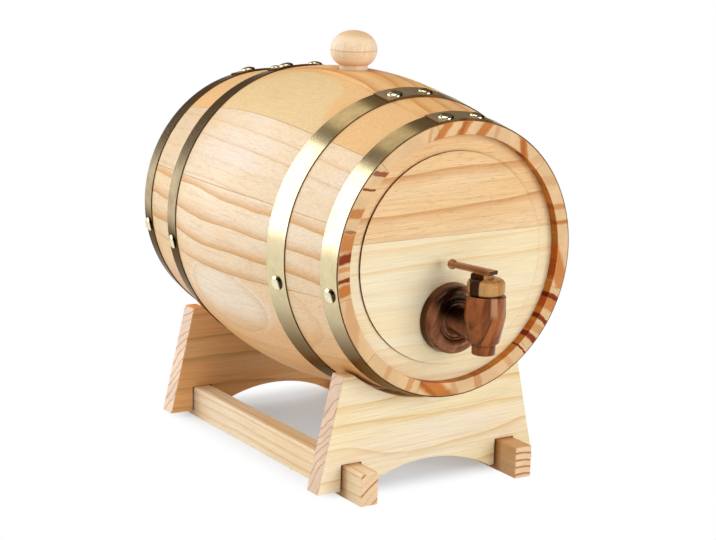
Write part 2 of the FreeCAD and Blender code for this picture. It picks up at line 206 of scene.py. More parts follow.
def closeUp(piece):
    editAll(piece)
    bpy.ops.mesh.remove_doubles(threshold=0.003 * mm)
    bpy.ops.mesh.dissolve_degenerate(threshold=0.001 * mm)
    bpy.ops.mesh.select_all(action="SELECT")
    bpy.ops.mesh.normals_make_consistent(inside=False)
    bpy.ops.object.mode_set(mode="OBJECT")


def turn(name, outline, centre, axis, steps, angle=360.0):
    # a point is drawn along the outline, then the line is spun; a closed outline is filled first
    deselectAll()
    bpy.ops.mesh.primitive_plane_add(size=mm, location=outline[0])
    piece = nameNew(name)
    editAll(piece)
    bpy.ops.mesh.merge(type="CENTER")
    for start, end in zip(outline, outline[1:]):
        bpy.ops.mesh.extrude_vertices_move(TRANSFORM_OT_translate={"value": end - start})
    bpy.ops.mesh.select_all(action="SELECT")
    if (outline[-1] - outline[0]).length < 0.001 * mm:
        bpy.ops.mesh.remove_doubles(threshold=0.001 * mm)
        if angle < 360:
            bpy.ops.mesh.edge_face_add()
    bpy.ops.mesh.select_all(action="SELECT")
    bpy.ops.mesh.spin(steps=steps, angle=math.radians(angle), center=centre, axis=axis)
    settle(piece)
    closeUp(piece)
    return piece


def bow(start, end, rise, steps):
    # points of an arc from start to end in (radius, height), standing rise out on its left side
    chord = (end - start).length
    radius = (chord * chord / 4 + rise * rise) / (2 * abs(rise))
    half = math.asin(min(1.0, chord / (2 * radius)))
    if abs(rise) > chord / 2:
        half = math.pi - half
    sideways = Vector((-(end - start).y, (end - start).x)).normalized() * math.copysign(1, rise)
    forward = (end - start).normalized()
    centre = (start + end) / 2 + sideways * (abs(rise) - radius)
    points = []
    for i in range(steps + 1):
        swing = -half + 2 * half * i / steps
        points.append(centre + sideways * radius * math.cos(swing) + forward * radius * math.sin(swing))
    return points


def followStops(stops):
    # a stop is (radius, height), then the rise and the steps of the arc that leads to it, if one does
    points = []
    for radius, height, *arc in stops:
        stop = Vector((radius, height))
        points += bow(points[-1], stop, *arc)[1:] if arc else [stop]
    return points


def combine(piece, cutter, operation="DIFFERENCE"):
    pick(piece)
    cut = piece.modifiers.new("cut", "BOOLEAN")
    cut.operation = operation
    cut.solver = "EXACT"
    cut.object = cutter
    bpy.ops.object.modifier_apply(modifier=cut.name)
    bpy.data.objects.remove(cutter)


def easeEdges(piece, width, segments=2, sharp=35.0):
    # sharp edges are rounded over a little, and flat faces keep their own shading
    pick(piece)
    if width:
        bevel = piece.modifiers.new("easedEdges", "BEVEL")
        bevel.width = width
        bevel.segments = segments
        bevel.limit_method = "ANGLE"
        bevel.angle_limit = math.radians(sharp)
        bpy.ops.object.modifier_apply(modifier=bevel.name)
    bpy.ops.object.shade_smooth_by_angle(angle=math.radians(sharp))
    weighted = piece.modifiers.new("flatShading", "WEIGHTED_NORMAL")
    weighted.keep_sharp = True
    bpy.ops.object.modifier_apply(modifier=weighted.name)


def copyPiece(piece, name, move):
    # a copy with a mesh of its own, moved by a matrix
    double = piece.copy()
    double.data = piece.data.copy()
    double.name = double.data.name = name
    scene.collection.objects.link(double)
    double.data.transform(move)
    return double


def joinPieces(pieces):
    deselectAll()
    for piece in pieces:
        piece.select_set(True)
    bpy.context.view_layer.objects.active = pieces[0]
    bpy.ops.object.join()
    return pieces[0]


def selectFacesTowards(piece, direction):
    # only the flat faces that look straight that way
    bpy.ops.mesh.select_mode(type="FACE")
    bpy.ops.mesh.select_all(action="DESELECT")
    bpy.ops.object.mode_set(mode="OBJECT")
    for face in piece.data.polygons:
        face.select = face.normal.dot(direction) > 0.999
    bpy.ops.object.mode_set(mode="EDIT")


def paintFaces(piece, material, chosen):
    # a second finish on the faces chosen by their place and normal
    if not len(piece.data.materials):
        piece.data.materials.append(None)
    piece.data.materials.append(material)
    for face in piece.data.polygons:
        if chosen(face.center, face.normal):
            face.material_index = len(piece.data.materials) - 1


def plainName(node):
    return node.title().replace("_", "")


def finishPiece(piece, body, slot, material, *cadNodes):
    if len(piece.data.materials):
        piece.data.materials[0] = material
    else:
        piece.data.materials.append(material)
    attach(piece, body)
    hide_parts(*cadNodes)


# Camera, floor and lights. An azimuth goes from in front towards the right, in degrees.

cameraSetup = {
    "place": (-0.6286, -0.9747, 0.3695),
    "azimuth": -32.65,
    "elevation": 12.67,
    "roll": 1.6,
    "lens": 101.18,
    "sensor": 36,
    "clipStart": 0.05,
}
# radiance is how bright the box itself looks
softboxes = {
    "leftBox": {"azimuth": -134, "elevation": 24, "distance": 1.3, "size": (1.3, 1.1), "radiance": 2.5},
    "keyBox": {"azimuth": 17, "elevation": 10, "distance": 1.5, "size": (0.9, 0.9), "radiance": 5.3},
    "backBox": {"azimuth": 179, "elevation": 50, "distance": 1.3, "size": (0.46, 0.34), "radiance": 0.78,
                "colour": (1.0, 0.88, 0.66)},
    "topBox": {"azimuth": -70, "elevation": 74, "distance": 1.4, "size": (1.0, 1.0), "radiance": 2.6},
}
lightTarget = Vector((0, 0, 0.12))
roomLight = {
    "fill": 0.36,               # what the room adds to every surface
    "ceiling": (0.13, 0.095, 0.065, 1),    # how it looks in a reflection
    "horizon": 1.0,
    "horizonTop": 0.14,         # sine of the height at which the horizon's white ends
}
floorLook = {
    "size": 14.0,
    "colour": (0.80, 0.88, 0.97, 1),
    "nearGlow": 0.29,           # share of plain white under the object, where its shadow falls
    "nearMiddle": (0, 0.027),   # middle of that patch
    "nearHalf": (0.050, 0.085),     # half its width and half its length
    "fade": 0.026,
}


def aim(azimuth, elevation):
    # from the object towards a camera or lamp that stands at these angles
    azimuth = math.radians(azimuth)
    elevation = math.radians(elevation)
    return Vector((
        math.sin(azimuth) * math.cos(elevation),
        -math.cos(azimuth) * math.cos(elevation),
        math.sin(elevation),
    ))


def makeCamera():
    back = aim(cameraSetup["azimuth"], cameraSetup["elevation"])
    level = aim(cameraSetup["azimuth"] + 90, 0)
    rise = back.cross(level)
    roll = math.radians(cameraSetup["roll"])
    side = level * math.cos(roll) + rise * math.sin(roll)
    top = rise * math.cos(roll) - level * math.sin(roll)
    bpy.ops.object.camera_add()
    camera = bpy.context.object
    camera.name = "sceneCamera"
    camera.data.lens = cameraSetup["lens"]
    camera.data.sensor_width = cameraSetup["sensor"]
    camera.data.clip_start = cameraSetup["clipStart"]
    turned = Matrix((side, top, back)).transposed().to_4x4()
    camera.matrix_world = Matrix.Translation(cameraSetup["place"]) @ turned
    scene.camera = camera


def makeSoftbox(name, box):
    direction = aim(box["azimuth"], box["elevation"])
    bpy.ops.object.light_add(type="AREA", location=lightTarget + direction * box["distance"])
    lamp = bpy.context.object
    lamp.name = name
    lamp.rotation_euler = direction.to_track_quat("Z", "Y").to_euler()
    lamp.data.shape = "RECTANGLE"
    width, height = box["size"]
    lamp.data.size = width
    lamp.data.size_y = height
    lamp.data.color = box.get("colour", (1, 1, 1))
    lamp.data.energy = box["radiance"] * math.pi * width * height


def showsBackground(tree):
    # 1 for a ray that sees the background, straight, mirrored or through glass, and 0 for the others
    rays = tree.nodes.new("ShaderNodeLightPath").outputs
    seen = plus(tree, rays["Is Camera Ray"], rays["Is Glossy Ray"])
    return plus(tree, seen, rays["Is Transmission Ray"], clamp=True)


def makeRoom():
    world = bpy.data.worlds.new("studioRoom")
    world.use_nodes = True
    scene.world = world
    tree = world.node_tree
    tree.nodes.clear()
    place = tree.nodes.new("ShaderNodeTexCoord").outputs["Generated"]
    height = addNode(tree, "ShaderNodeSeparateXYZ", {0: place}).outputs["Z"]
    ramp = addNode(tree, "ShaderNodeValToRGB", {0: height})
    low, high = ramp.color_ramp.elements
    low.color = [roomLight["horizon"]] * 3 + [1]
    high.position = roomLight["horizonTop"]
    high.color = roomLight["ceiling"]
    fill = addNode(tree, "ShaderNodeBackground", {"Color": (1, 1, 1, 1), "Strength": roomLight["fill"]})
    seen = addNode(tree, "ShaderNodeBackground", {"Color": ramp.outputs["Color"]})
    mix = addNode(tree, "ShaderNodeMixShader", {
        0: showsBackground(tree), 1: fill.outputs[0], 2: seen.outputs[0]})
    addNode(tree, "ShaderNodeOutputWorld", {0: mix.outputs[0]})


def makeFloor():
    bpy.ops.mesh.primitive_plane_add(size=floorLook["size"])
    floor = nameNew("studioFloor")
    material = newMaterial("paleFloor")
    tree = material.node_tree
    tree.nodes.clear()
    away = vectorCalc(tree, "SUBTRACT", objectPlace(tree), (*floorLook["nearMiddle"], 0))
    away = vectorCalc(tree, "ABSOLUTE", away)
    beyond = vectorCalc(tree, "SUBTRACT", away, (*floorLook["nearHalf"], 0))
    distance = measure(tree, "LENGTH", vectorCalc(tree, "MAXIMUM", beyond))
    share = between(tree, distance, 0.0, floorLook["fade"], floorLook["nearGlow"], 1.0)
    matt = addNode(tree, "ShaderNodeBsdfDiffuse", {"Color": floorLook["colour"]})
    glow = tree.nodes.new("ShaderNodeEmission")
    mix = addNode(tree, "ShaderNodeMixShader", {
        0: times(tree, share, showsBackground(tree)), 1: matt.outputs[0], 2: glow.outputs[0]})
    addNode(tree, "ShaderNodeOutputMaterial", {0: mix.outputs[0]})
    floor.data.materials.append(material)


scene.view_settings.view_transform = "Standard"
makeCamera()
makeRoom()
makeFloor()
for boxName, box in softboxes.items():
    makeSoftbox(boxName, box)
print("camera, floor and lights done")


# Wood. Colours are linear and lengths are in millimetres. cut and deep are the plain and the late wood where
# the grain is cut across, and fineness makes everything but the rings smaller.
pineLook = {
    "pale": (0.88, 0.66, 0.40), "warm": (0.86, 0.58, 0.30), "late": (0.74, 0.37, 0.13),
    "cut": (0.80, 0.53, 0.29), "deep": (0.40, 0.11, 0.04),
    "ringWidth": 6.0, "firstRing": 0.0, "waviness": 1.5, "lateShare": 0.8, "lateWidth": 0.35,
    "unevenness": 0.5, "core": 0.0, "poreDepth": 0.3, "fibre": 0.17, "fineness": 1.0,
    "roughness": (0.40, 0.54), "bump": 0.25, "specular": 0.25, "gloss": (1, 1, 1),
}
walnutLook = {
    "pale": (0.13, 0.036, 0.010), "warm": (0.34, 0.11, 0.026), "late": (0.016, 0.005, 0.003),
    "cut": (0.19, 0.06, 0.016), "deep": (0.02, 0.006, 0.004),
    "ringWidth": 5.0, "firstRing": 0.0, "waviness": 2.2, "lateShare": 0.95, "lateWidth": 0.6,
    "unevenness": 0.6, "core": 0.0, "poreDepth": 0.7, "fibre": 0.25, "fineness": 3.0,
    "roughness": (0.22, 0.34), "bump": 0.2, "specular": 0.5, "gloss": (1.0, 0.52, 0.28),
}
# how fine each kind of noise is, along the grain and both ways across it, per millimetre
grainNoise = {
    "bend": (0.010, 0.028, 0.028), "ragged": (0.045, 0.9, 0.9), "patch": (0.009, 0.05, 0.05),
    "tone": (0.007, 0.045, 0.045), "lines": (0.006, 0.42, 0.42),
    "fibre": (0.035, 2.2, 2.2), "pores": (0.14, 2.8, 2.8),
}
seedStep = (310.0, 170.0, 230.0)    # how far apart in the noise two boards are cut
woodNumbers = ("waviness", "lateShare", "lateWidth", "unevenness", "poreDepth", "fibre", "core")
woodColours = ("pale", "warm", "late", "cut", "deep")


def drawRings(group, given, place):
    # how much late wood shows at a spot, and how far the spot lies from the first ring
    slow = noise(group, place, grainNoise["bend"], detail=3.0, rough=0.4, result="Color")
    centred = vectorCalc(group, "SUBTRACT", slow, (0.5, 0.5, 0.5))
    bend = vectorCalc(group, "MULTIPLY", centred, times(group, given["waviness"], 4.0))
    bent = vectorCalc(group, "ADD", given["place"], bend)
    fromHeart = measure(group, "LENGTH", vectorCalc(group, "MULTIPLY", bent, (0, 1, 1)))
    ragged = noise(group, place, grainNoise["ragged"], detail=3.0, rough=0.6)
    edge = minus(group, fromHeart, given["firstRing"])
    edge = plus(group, edge, times(group, ragged, 0.9))
    ringCount = calc(group, "DIVIDE", edge, given["ringWidth"])
    phase = calc(group, "FRACT", ringCount)
    start = minus(group, 0.97, given["lateWidth"])
    rise = calc(group, "DIVIDE", minus(group, phase, start), given["lateWidth"], clamp=True)
    rise = calc(group, "POWER", rise, 1.6)
    late = times(group, rise, between(group, phase, 0.965, 1.0, 1.0, 0.0))

    # some rings are weaker than others, and all of them fade in patches
    ringPick = group.nodes.new("ShaderNodeTexWhiteNoise")
    ringPick.noise_dimensions = "1D"
    feed(group, ringPick.inputs["W"], plus(group, calc(group, "FLOOR", ringCount), given["seed"]))
    picked = ringPick.outputs["Value"]
    weakest = minus(group, 1.0, given["unevenness"])
    strength = between(group, picked, 0.1, 0.9, weakest, 1.0)
    patch = noise(group, place, grainNoise["patch"], detail=1.0)
    fade = between(group, patch, 0.34, 0.56, weakest, 1.0)
    lateShare = times(group, times(group, late, strength), fade)
    lateShare = times(group, lateShare, given["lateShare"], clamp=True)

    # where the grain is cut across, a ring shows as a plain bar
    bar = between(group, rise, 0.10, 0.35)
    bar = times(group, bar, between(group, phase, 0.95, 0.99, 1.0, 0.0))
    bar = times(group, bar, between(group, picked, 0.15, 0.6, 0.15, 1.0))
    bar = times(group, bar, times(group, given["lateShare"], 1.4, clamp=True))
    return between(group, given["endGrain"], 0.0, 1.0, lateShare, bar), edge


def makeGrainGroup():
    # Solid timber. The place is in millimetres: X along the grain, Y and Z from the heart of the tree.
    group = bpy.data.node_groups.new("timberGrain", "ShaderNodeTree")
    sockets = {
        "NodeSocketVector": ("place",),
        "NodeSocketFloat": ("seed", "ringWidth", "firstRing", "endGrain", *woodNumbers),
        "NodeSocketColor": woodColours,
    }
    for kind, names in sockets.items():
        for name in names:
            group.interface.new_socket(name, in_out="INPUT", socket_type=kind)
    group.interface.new_socket("colour", in_out="OUTPUT", socket_type="NodeSocketColor")
    group.interface.new_socket("height", in_out="OUTPUT", socket_type="NodeSocketFloat")
    given = group.nodes.new("NodeGroupInput").outputs
    result = group.nodes.new("NodeGroupOutput")
    shift = addNode(group, "ShaderNodeCombineXYZ", {
        i: times(group, given["seed"], step) for i, step in enumerate(seedStep)})
    place = vectorCalc(group, "ADD", given["place"], shift.outputs[0])
    lateShare, edge = drawRings(group, given, place)

    # slow drift of tone, faint lines between the rings, fine fibres and short dark pores
    drift = between(group, noise(group, place, grainNoise["tone"]), 0.36, 0.62)
    core = plus(group, between(group, edge, -0.4, 1.2), times(group, drift, 0.25))
    warmth = between(group, given["core"], 0.0, 1.0, drift, core)
    base = blendColour(group, warmth, given["pale"], given["warm"])
    lines = between(group, noise(group, place, grainNoise["lines"]), 0.50, 0.70)
    base = blendColour(group, times(group, lines, 0.22), base, given["late"])
    lateColour = blendColour(group, given["endGrain"], given["late"], given["deep"])
    cutLevel = greyLevel(group, between(group, drift, 0.0, 1.0, 1.04, 0.95))
    cut = blendColour(group, 1.0, given["cut"], cutLevel, "MULTIPLY")
    base = blendColour(group, given["endGrain"], base, cut)
    timber = blendColour(group, lateShare, base, lateColour)
    fibre = noise(group, place, grainNoise["fibre"], detail=4.0, rough=0.65)
    fibreLevel = between(group, fibre, 0.3, 0.7, minus(group, 1.05, given["fibre"]), 1.05)
    timber = blendColour(group, 1.0, timber, greyLevel(group, fibreLevel), "MULTIPLY")
    pores = between(group, noise(group, place, grainNoise["pores"], detail=1.0), 0.64, 0.72)
    poreShare = times(group, pores, given["poreDepth"])
    dark = blendColour(group, 1.0, timber, (0.42, 0.30, 0.22, 1), "MULTIPLY")

    height = plus(group, times(group, fibre, 0.5), times(group, lateShare, 0.35))
    height = minus(group, height, times(group, poreShare, 0.8))
    feedAll(group, result, {"colour": blendColour(group, poreShare, timber, dark), "height": height})
    return group


grainGroup = makeGrainGroup()


def makeTimber(name, look, grain, ringWay, spot, heartDepth, seed, **changes):
    # grain: along the fibres; ringWay: square to the rings at a spot; heartDepth: of their centre behind it
    look = {**look, **changes}
    material = newMaterial(name)
    tree = material.node_tree
    shader = shaderOf(material)
    grain = grain.normalized()
    ringWay = (ringWay - grain * ringWay.dot(grain)).normalized()
    turned = Matrix((grain, ringWay.cross(grain), ringWay))
    heart = spot - ringWay * heartDepth * mm
    size = look["fineness"] / mm
    coordinates = tree.nodes.new("ShaderNodeTexCoord").outputs
    place = addNode(tree, "ShaderNodeMapping", {
        "Vector": coordinates["Object"], "Location": -(turned @ heart) * size,
        "Rotation": turned.to_euler("XYZ"), "Scale": (size, size, size)})
    cutAcross = calc(tree, "ABSOLUTE", measure(tree, "DOT_PRODUCT", coordinates["Normal"], grain))
    firstRing = abs(heartDepth) + look["firstRing"] * math.copysign(1, heartDepth)
    timber = tree.nodes.new("ShaderNodeGroup")
    timber.node_tree = grainGroup
    feedAll(tree, timber, {
        "place": place.outputs[0], "endGrain": between(tree, cutAcross, 0.55, 0.9), "seed": seed,
        "firstRing": firstRing * look["fineness"], "ringWidth": look["ringWidth"] * look["fineness"]})
    feedAll(tree, timber, {key: look[key] for key in woodNumbers})
    feedAll(tree, timber, {key: (*look[key], 1) for key in woodColours})
    height = timber.outputs["height"]
    smooth, rough = look["roughness"]
    feedAll(tree, shader, {
        "Base Color": timber.outputs["colour"], "Roughness": between(tree, height, 0.1, 0.6, smooth, rough),
        "Specular IOR Level": look["specular"], "Specular Tint": (*look["gloss"], 1)})
    addBump(tree, shader, height, look["bump"], 0.15 * mm)
    return material


def tintWood(material, share, tint, kind="MULTIPLY"):
    # the tint goes over what the wood shows so far
    tree = material.node_tree
    surface = shaderOf(material).inputs["Base Color"]
    colour = surface.links[0].from_socket
    feed(tree, surface, blendColour(tree, share, colour, tint, kind))


def paintShading(material, edges, centre, share, tint, kind="MULTIPLY"):
    # painted light and shade between planes: each edge is a direction and the distances from the centre along
    # it where the tint starts and is full
    tree = material.node_tree
    for way, start, full in edges:
        away = way.dot(centre)
        inside = between(tree, alongWay(tree, way), away + start, away + full)
        share = times(tree, inside, share)
    tintWood(material, share, tint, kind)


# The cask's own form, round its middle.

staveNames = ["stave_%02d" % (i + 1) for i in range(12)]
staveBoxes = [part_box(name) for name in staveNames]
caskLow = Vector([min(low[k] for low, high in staveBoxes) for k in range(3)])
caskHigh = Vector([max(high[k] for low, high in staveBoxes) for k in range(3)])
middle = (caskLow + caskHigh) / 2
halfLength = (caskHigh.y - caskLow.y) / 2
bellyRadius = (caskHigh.x - caskLow.x) / 2
caskShape = {
    "chimeRadius": 77.0 * mm,
    "bellyHalf": 45.6 * mm,     # the rounded middle; the ends run straight
    "thickness": 9.0 * mm,
    "endThickness": 7.4 * mm,
    "firstJoint": 12.0,         # degrees from +X up towards +Z
    "jointGap": 0.035,          # degrees left open at each side of a stave
    "headRecess": 6.2 * mm,
    "headThickness": 8.0 * mm,
    "crozeDepth": 3.0 * mm,
    "edge": 0.25 * mm,
}
bungHole = {"offset": -2.0 * mm, "radius": 8.8 * mm, "taper": 4.0, "depth": 20 * mm}
tapHole = {"drop": 33.5 * mm, "radius": 7.0 * mm, "length": 40 * mm}


def findSlope():
    # of the straight ends, so that they run on smoothly from the rounded middle
    rise = bellyRadius - caskShape["chimeRadius"]
    bellyHalf = caskShape["bellyHalf"]
    slope = 0.1
    for _ in range(40):
        slope = math.atan((rise - bellyHalf * math.tan(slope / 2)) / (halfLength - bellyHalf))
    return slope


slope = findSlope()
bellyCurve = caskShape["bellyHalf"] / math.sin(slope)      # the radius of the rounded middle's arc


def caskRadius(y, depth=0.0):
    # outside radius at y from the middle, or the radius a depth below it
    if abs(y) <= (bellyCurve - depth) * math.sin(slope):
        return bellyRadius - bellyCurve + math.sqrt((bellyCurve - depth) ** 2 - y * y)
    return caskShape["chimeRadius"] + (halfLength - abs(y)) * math.tan(slope) - depth / math.cos(slope)


def caskPoint(radius, y, angle=0.0):
    # a point at a distance along the cask and a turn from +X up towards +Z
    turnedBy = math.radians(angle)
    return middle + Vector((radius * math.cos(turnedBy), y, radius * math.sin(turnedBy)))


def outwardAt(spot):
    return Vector((spot.x - middle.x, 0, spot.z - middle.z)).normalized()


def caskTurn(angle):
    turned = Matrix.Rotation(math.radians(-angle), 4, "Y")
    return Matrix.Translation(middle) @ turned @ Matrix.Translation(-middle)


bungSeat = middle + Vector((0, bungHole["offset"], caskRadius(bungHole["offset"])))


# Staves. tilt: how far the rings' face is turned from the outside, in degrees (0 flat, 90 quarter sawn);
# heart: how deep the rings' centre lies; firstRing: from the middle of the outside; slant: of the grain
# across the stave; lean: of the grain out of its surface; tints: which way, from where to where in mm,
# and the colour.
# painted shade: the first tint makes the rear of a stave darker and yellower, away from the left lamp's
# highlight; the second darkens stave 7 towards its lower side
rearShade = ("along", -10, 95, (0.88, 0.82, 0.68, 1))
lowerSideShade = ("across", -9, 12, (0.90, 0.74, 0.54, 1))
staveFigures = [
    {"tilt": 60, "heart": 120, "ringWidth": 7.0, "firstRing": 2.0, "lateShare": 0.5},
    {"tilt": -40, "heart": 90, "ringWidth": 12.0, "firstRing": 4.0, "unevenness": 0.3},
    {"tilt": 48, "heart": 260, "ringWidth": 11.0, "firstRing": 2.0, "lateShare": 1.0, "lateWidth": 0.5,
     "unevenness": 0.2, "waviness": 3.0,
     "pale": (0.86, 0.55, 0.25), "warm": (0.84, 0.47, 0.17), "late": (0.64, 0.25, 0.07)},
    {"tilt": 7, "heart": 300, "ringWidth": 2.4, "firstRing": -4.6, "lateShare": 0.3, "lateWidth": 0.3,
     "unevenness": 0.2, "core": 1.0,
     "pale": (0.83, 0.49, 0.21), "warm": (0.80, 0.58, 0.30), "late": (0.82, 0.50, 0.20)},
    {"tilt": 86, "heart": 250, "ringWidth": 11.5, "firstRing": 11.2, "lateShare": 0.6, "lateWidth": 0.22,
     "slant": -2.0, "tints": [rearShade],
     "pale": (0.86, 0.70, 0.55), "warm": (0.87, 0.66, 0.43), "late": (0.70, 0.39, 0.16)},
    {"tilt": 88, "heart": 250, "ringWidth": 14.2, "firstRing": -2.0, "lateShare": 1.0, "lateWidth": 0.55,
     "unevenness": 0.1, "waviness": 3.0, "core": 0.5, "slant": -1.0, "tints": [rearShade],
     "pale": (0.93, 0.77, 0.58), "warm": (0.90, 0.66, 0.41), "late": (0.70, 0.34, 0.10)},
    {"tilt": -4, "heart": -480, "ringWidth": 6.5, "firstRing": -2.9, "lateShare": 0.5, "lateWidth": 0.3,
     "unevenness": 0.3, "core": 1.0, "lean": 1.5, "tints": [rearShade, lowerSideShade],
     "pale": (0.93, 0.76, 0.57), "warm": (0.93, 0.64, 0.37), "late": (0.76, 0.42, 0.15)},
    {"tilt": 40, "heart": 100, "ringWidth": 7.0, "firstRing": 0.0,
     "pale": (0.80, 0.43, 0.16), "warm": (0.76, 0.37, 0.12)},
    {"tilt": -45, "heart": 150, "ringWidth": 12.0, "firstRing": 3.0, "unevenness": 0.2},
    {"tilt": 30, "heart": 160, "ringWidth": 9.0, "firstRing": 1.0, "lateShare": 0.4},
    {"tilt": 88, "heart": 260, "ringWidth": 14.5, "firstRing": 0.0, "lateShare": 0.95, "lateWidth": 0.3,
     "unevenness": 0.1},
    {"tilt": 70, "heart": 200, "ringWidth": 10.0, "firstRing": 5.0, "lateShare": 0.4},
]
# dark bands of late wood on each stave's ends, running on over the chime's inner wall:
# degrees at the outer edge, degrees at the inner edge, width in degrees, share and tint
amber, russet = (0.75, 0.38, 0.15, 1), (0.34, 0.07, 0.015, 1)
endBands = [
    [(11.5, 12.5, 2.0, 0.9, amber), (18.5, 20.5, 2.5, 0.7, amber), (31, 35, 4.0, 0.3, amber)],
    [(57.5, 52, 4.0, 1.0, amber), (57, 53, 2.0, 0.3, russet), (44, 47, 4.0, 0.3, amber),
     (71, 71.5, 2.0, 0.4, amber)],
    [(76.5, 80, 4.5, 1.0, amber), (87, 91, 4.0, 1.0, amber), (88, 91, 1.6, 0.4, russet),
     (96.5, 103, 3.5, 1.0, amber)],
    [(96.5, 103, 3.5, 1.0, amber), (105, 108, 1.5, 0.5, amber)],
    [(137, 133, 2.0, 0.85, russet), (145, 142, 1.2, 0.95, russet), (156, 153.5, 4.0, 0.9, amber)],
    [(163.3, 162.2, 1.3, 0.7, russet), (168, 167, 8.0, 0.9, amber), (175, 173.5, 4.2, 1.0, russet),
     (179, 178.5, 2.0, 0.7, amber), (184, 183.2, 1.9, 1.0, russet), (188.5, 187.5, 5.0, 1.0, amber)],
    [(208, 197, 8.0, 0.35, amber)],
    [(234, 233, 2.5, 0.4, amber), (246.5, 247, 3.0, 0.6, amber)],
    [(265.5, 254.5, 7.5, 1.0, amber), (261, 251, 2.0, 0.35, russet), (272, 270, 3.0, 0.4, amber)],
    [(283.5, 283, 4.5, 0.6, amber), (302, 301, 3.0, 0.4, amber), (310.3, 310, 1.0, 1.0, russet)],
    [(317, 316.8, 2.8, 1.0, russet), (322, 321.5, 4.0, 0.6, amber), (326.2, 326.8, 2.2, 1.0, russet),
     (334, 334.5, 6.0, 0.9, amber), (337.3, 338, 2.2, 1.0, russet)],
    [(344, 353, 7.0, 0.9, amber), (371.5, 372.5, 2.0, 0.9, amber)],
]
# the sawn ends keep their own cut colour; the deep orange of the long grain is painted shade on the chime's
# inner wall, in the recess in front of the head
endAndWallShadeLook = {
    "pale": (0.70, 0.25, 0.035), "warm": (0.54, 0.17, 0.018), "cut": (0.76, 0.49, 0.25),
    "heartDepth": 400, "lateShare": 0.0, "fineness": 1.6, "specular": 0.1, "fibre": 0.24,
}


def staveOutline():
    # right round the section, from the front end along the outside and back along the inside
    belly = [caskShape["bellyHalf"] * (i / 8 - 1) for i in range(17)]
    outside = [Vector((caskRadius(y), y)) for y in (-halfLength, *belly, halfLength)]
    rim = caskShape["chimeRadius"] - caskShape["endThickness"]
    croze = rim + caskShape["crozeDepth"]
    headOut = halfLength - caskShape["headRecess"]
    headIn = headOut - caskShape["headThickness"]
    depth = caskShape["thickness"]
    innerHalf = (bellyCurve - depth) * math.sin(slope)
    innerBelly = [innerHalf * i / 6 for i in range(6, -1, -1)]
    inside = [(rim, halfLength), (rim, headOut), (croze, headOut), (croze, headIn)]
    inside += [(caskRadius(y, depth), y) for y in (headIn, *innerBelly)]
    inside = [Vector(p) for p in inside]
    inside += [Vector((p.x, -p.y)) for p in reversed(inside[:-1])]
    return outside + inside + outside[:1]


def addBands(material, bands):
    # each band lies on a plane along the cask
    tree = material.node_tree
    wobble = minus(tree, noise(tree, objectPlace(tree), (350, 40, 350)), 0.5)
    wobble = times(tree, wobble, 2.0 * mm)
    for outer, inner, width, share, tint in bands:
        start = caskPoint(caskShape["chimeRadius"], 0, outer)
        end = caskPoint(caskShape["chimeRadius"] - caskShape["endThickness"], 0, inner)
        sideways = (end - start).cross(along).normalized()
        distance = plus(tree, alongWay(tree, sideways), wobble)
        distance = calc(tree, "ABSOLUTE", minus(tree, distance, sideways.dot(start)))
        half = math.radians(width) * caskShape["chimeRadius"] / 2
        tintWood(material, between(tree, distance, half * 0.65, half * 1.25, share, 0.0), tint)


def makeStaveWood(number, outward):
    sideways = outward.cross(along)
    figure = dict(staveFigures[number])
    tints = figure.pop("tints", [])
    tilt = math.radians(figure.pop("tilt"))
    slant = math.tan(math.radians(figure.pop("slant", 0.0)))
    lean = math.tan(math.radians(figure.pop("lean", 0.0)))
    heart = figure.pop("heart")
    grain = along + sideways * slant + outward * lean
    ringWay = outward * math.cos(tilt) + sideways * math.sin(tilt)
    wood = makeTimber(
        "pineStave%02d" % (number + 1), pineLook, grain, ringWay, middle + outward * bellyRadius,
        heartDepth=heart, seed=number + 1.0, **figure)
    for way, start, full, tint in tints:
        direction = along if way == "along" else sideways
        paintShading(wood, [(direction, start * mm, full * mm)], middle, 1.0, tint)
    return wood


def onChime(spot, normal):
    # on a stave's sawn end, or on its inside in front of the head
    if abs(spot.y - middle.y) < halfLength - caskShape["headRecess"] + 0.1 * mm:
        return False
    return abs(normal.y) > 0.8 or normal.dot(outwardAt(spot)) < -0.7


def cutBungHole(stave):
    depth = bungHole["depth"]
    spread = math.tan(math.radians(bungHole["taper"])) * depth
    deselectAll()
    bpy.ops.mesh.primitive_cone_add(
        vertices=64, radius1=bungHole["radius"] - spread, radius2=bungHole["radius"] + spread,
        depth=2 * depth, location=bungSeat)
    combine(stave, bpy.context.object)


def makeStaves():
    gap = caskShape["jointGap"]
    step = 360 / len(staveNames)
    outline = [caskPoint(p.x, p.y, gap) for p in staveOutline()]
    blank = turn("staveBlank", outline, middle, along, 12, step - 2 * gap)
    easeEdges(blank, caskShape["edge"])
    for i, node in enumerate(staveNames):
        angle = caskShape["firstJoint"] + i * step
        stave = copyPiece(blank, "staveBoard%02d" % (i + 1), caskTurn(angle))
        if angle < 90 < angle + step:
            cutBungHole(stave)
        centreAngle = math.radians(angle + step / 2)
        outward = Vector((math.cos(centreAngle), 0, math.sin(centreAngle)))
        wood = makeStaveWood(i, outward)
        # the sawn ends, and the chime's inner wall with painted shade
        endWood = makeTimber(
            "pineEnd%02d" % (i + 1), pineLook, along, right, middle, seed=30.0 + i, **endAndWallShadeLook)
        addBands(endWood, endBands[i])
        paintFaces(stave, endWood, onChime)
        finishPiece(stave, "cask", "stave_wood", wood, node)
    bpy.data.objects.remove(blank)


makeStaves()
print("staves done")


# Heads: two boards each, with a raised round panel.

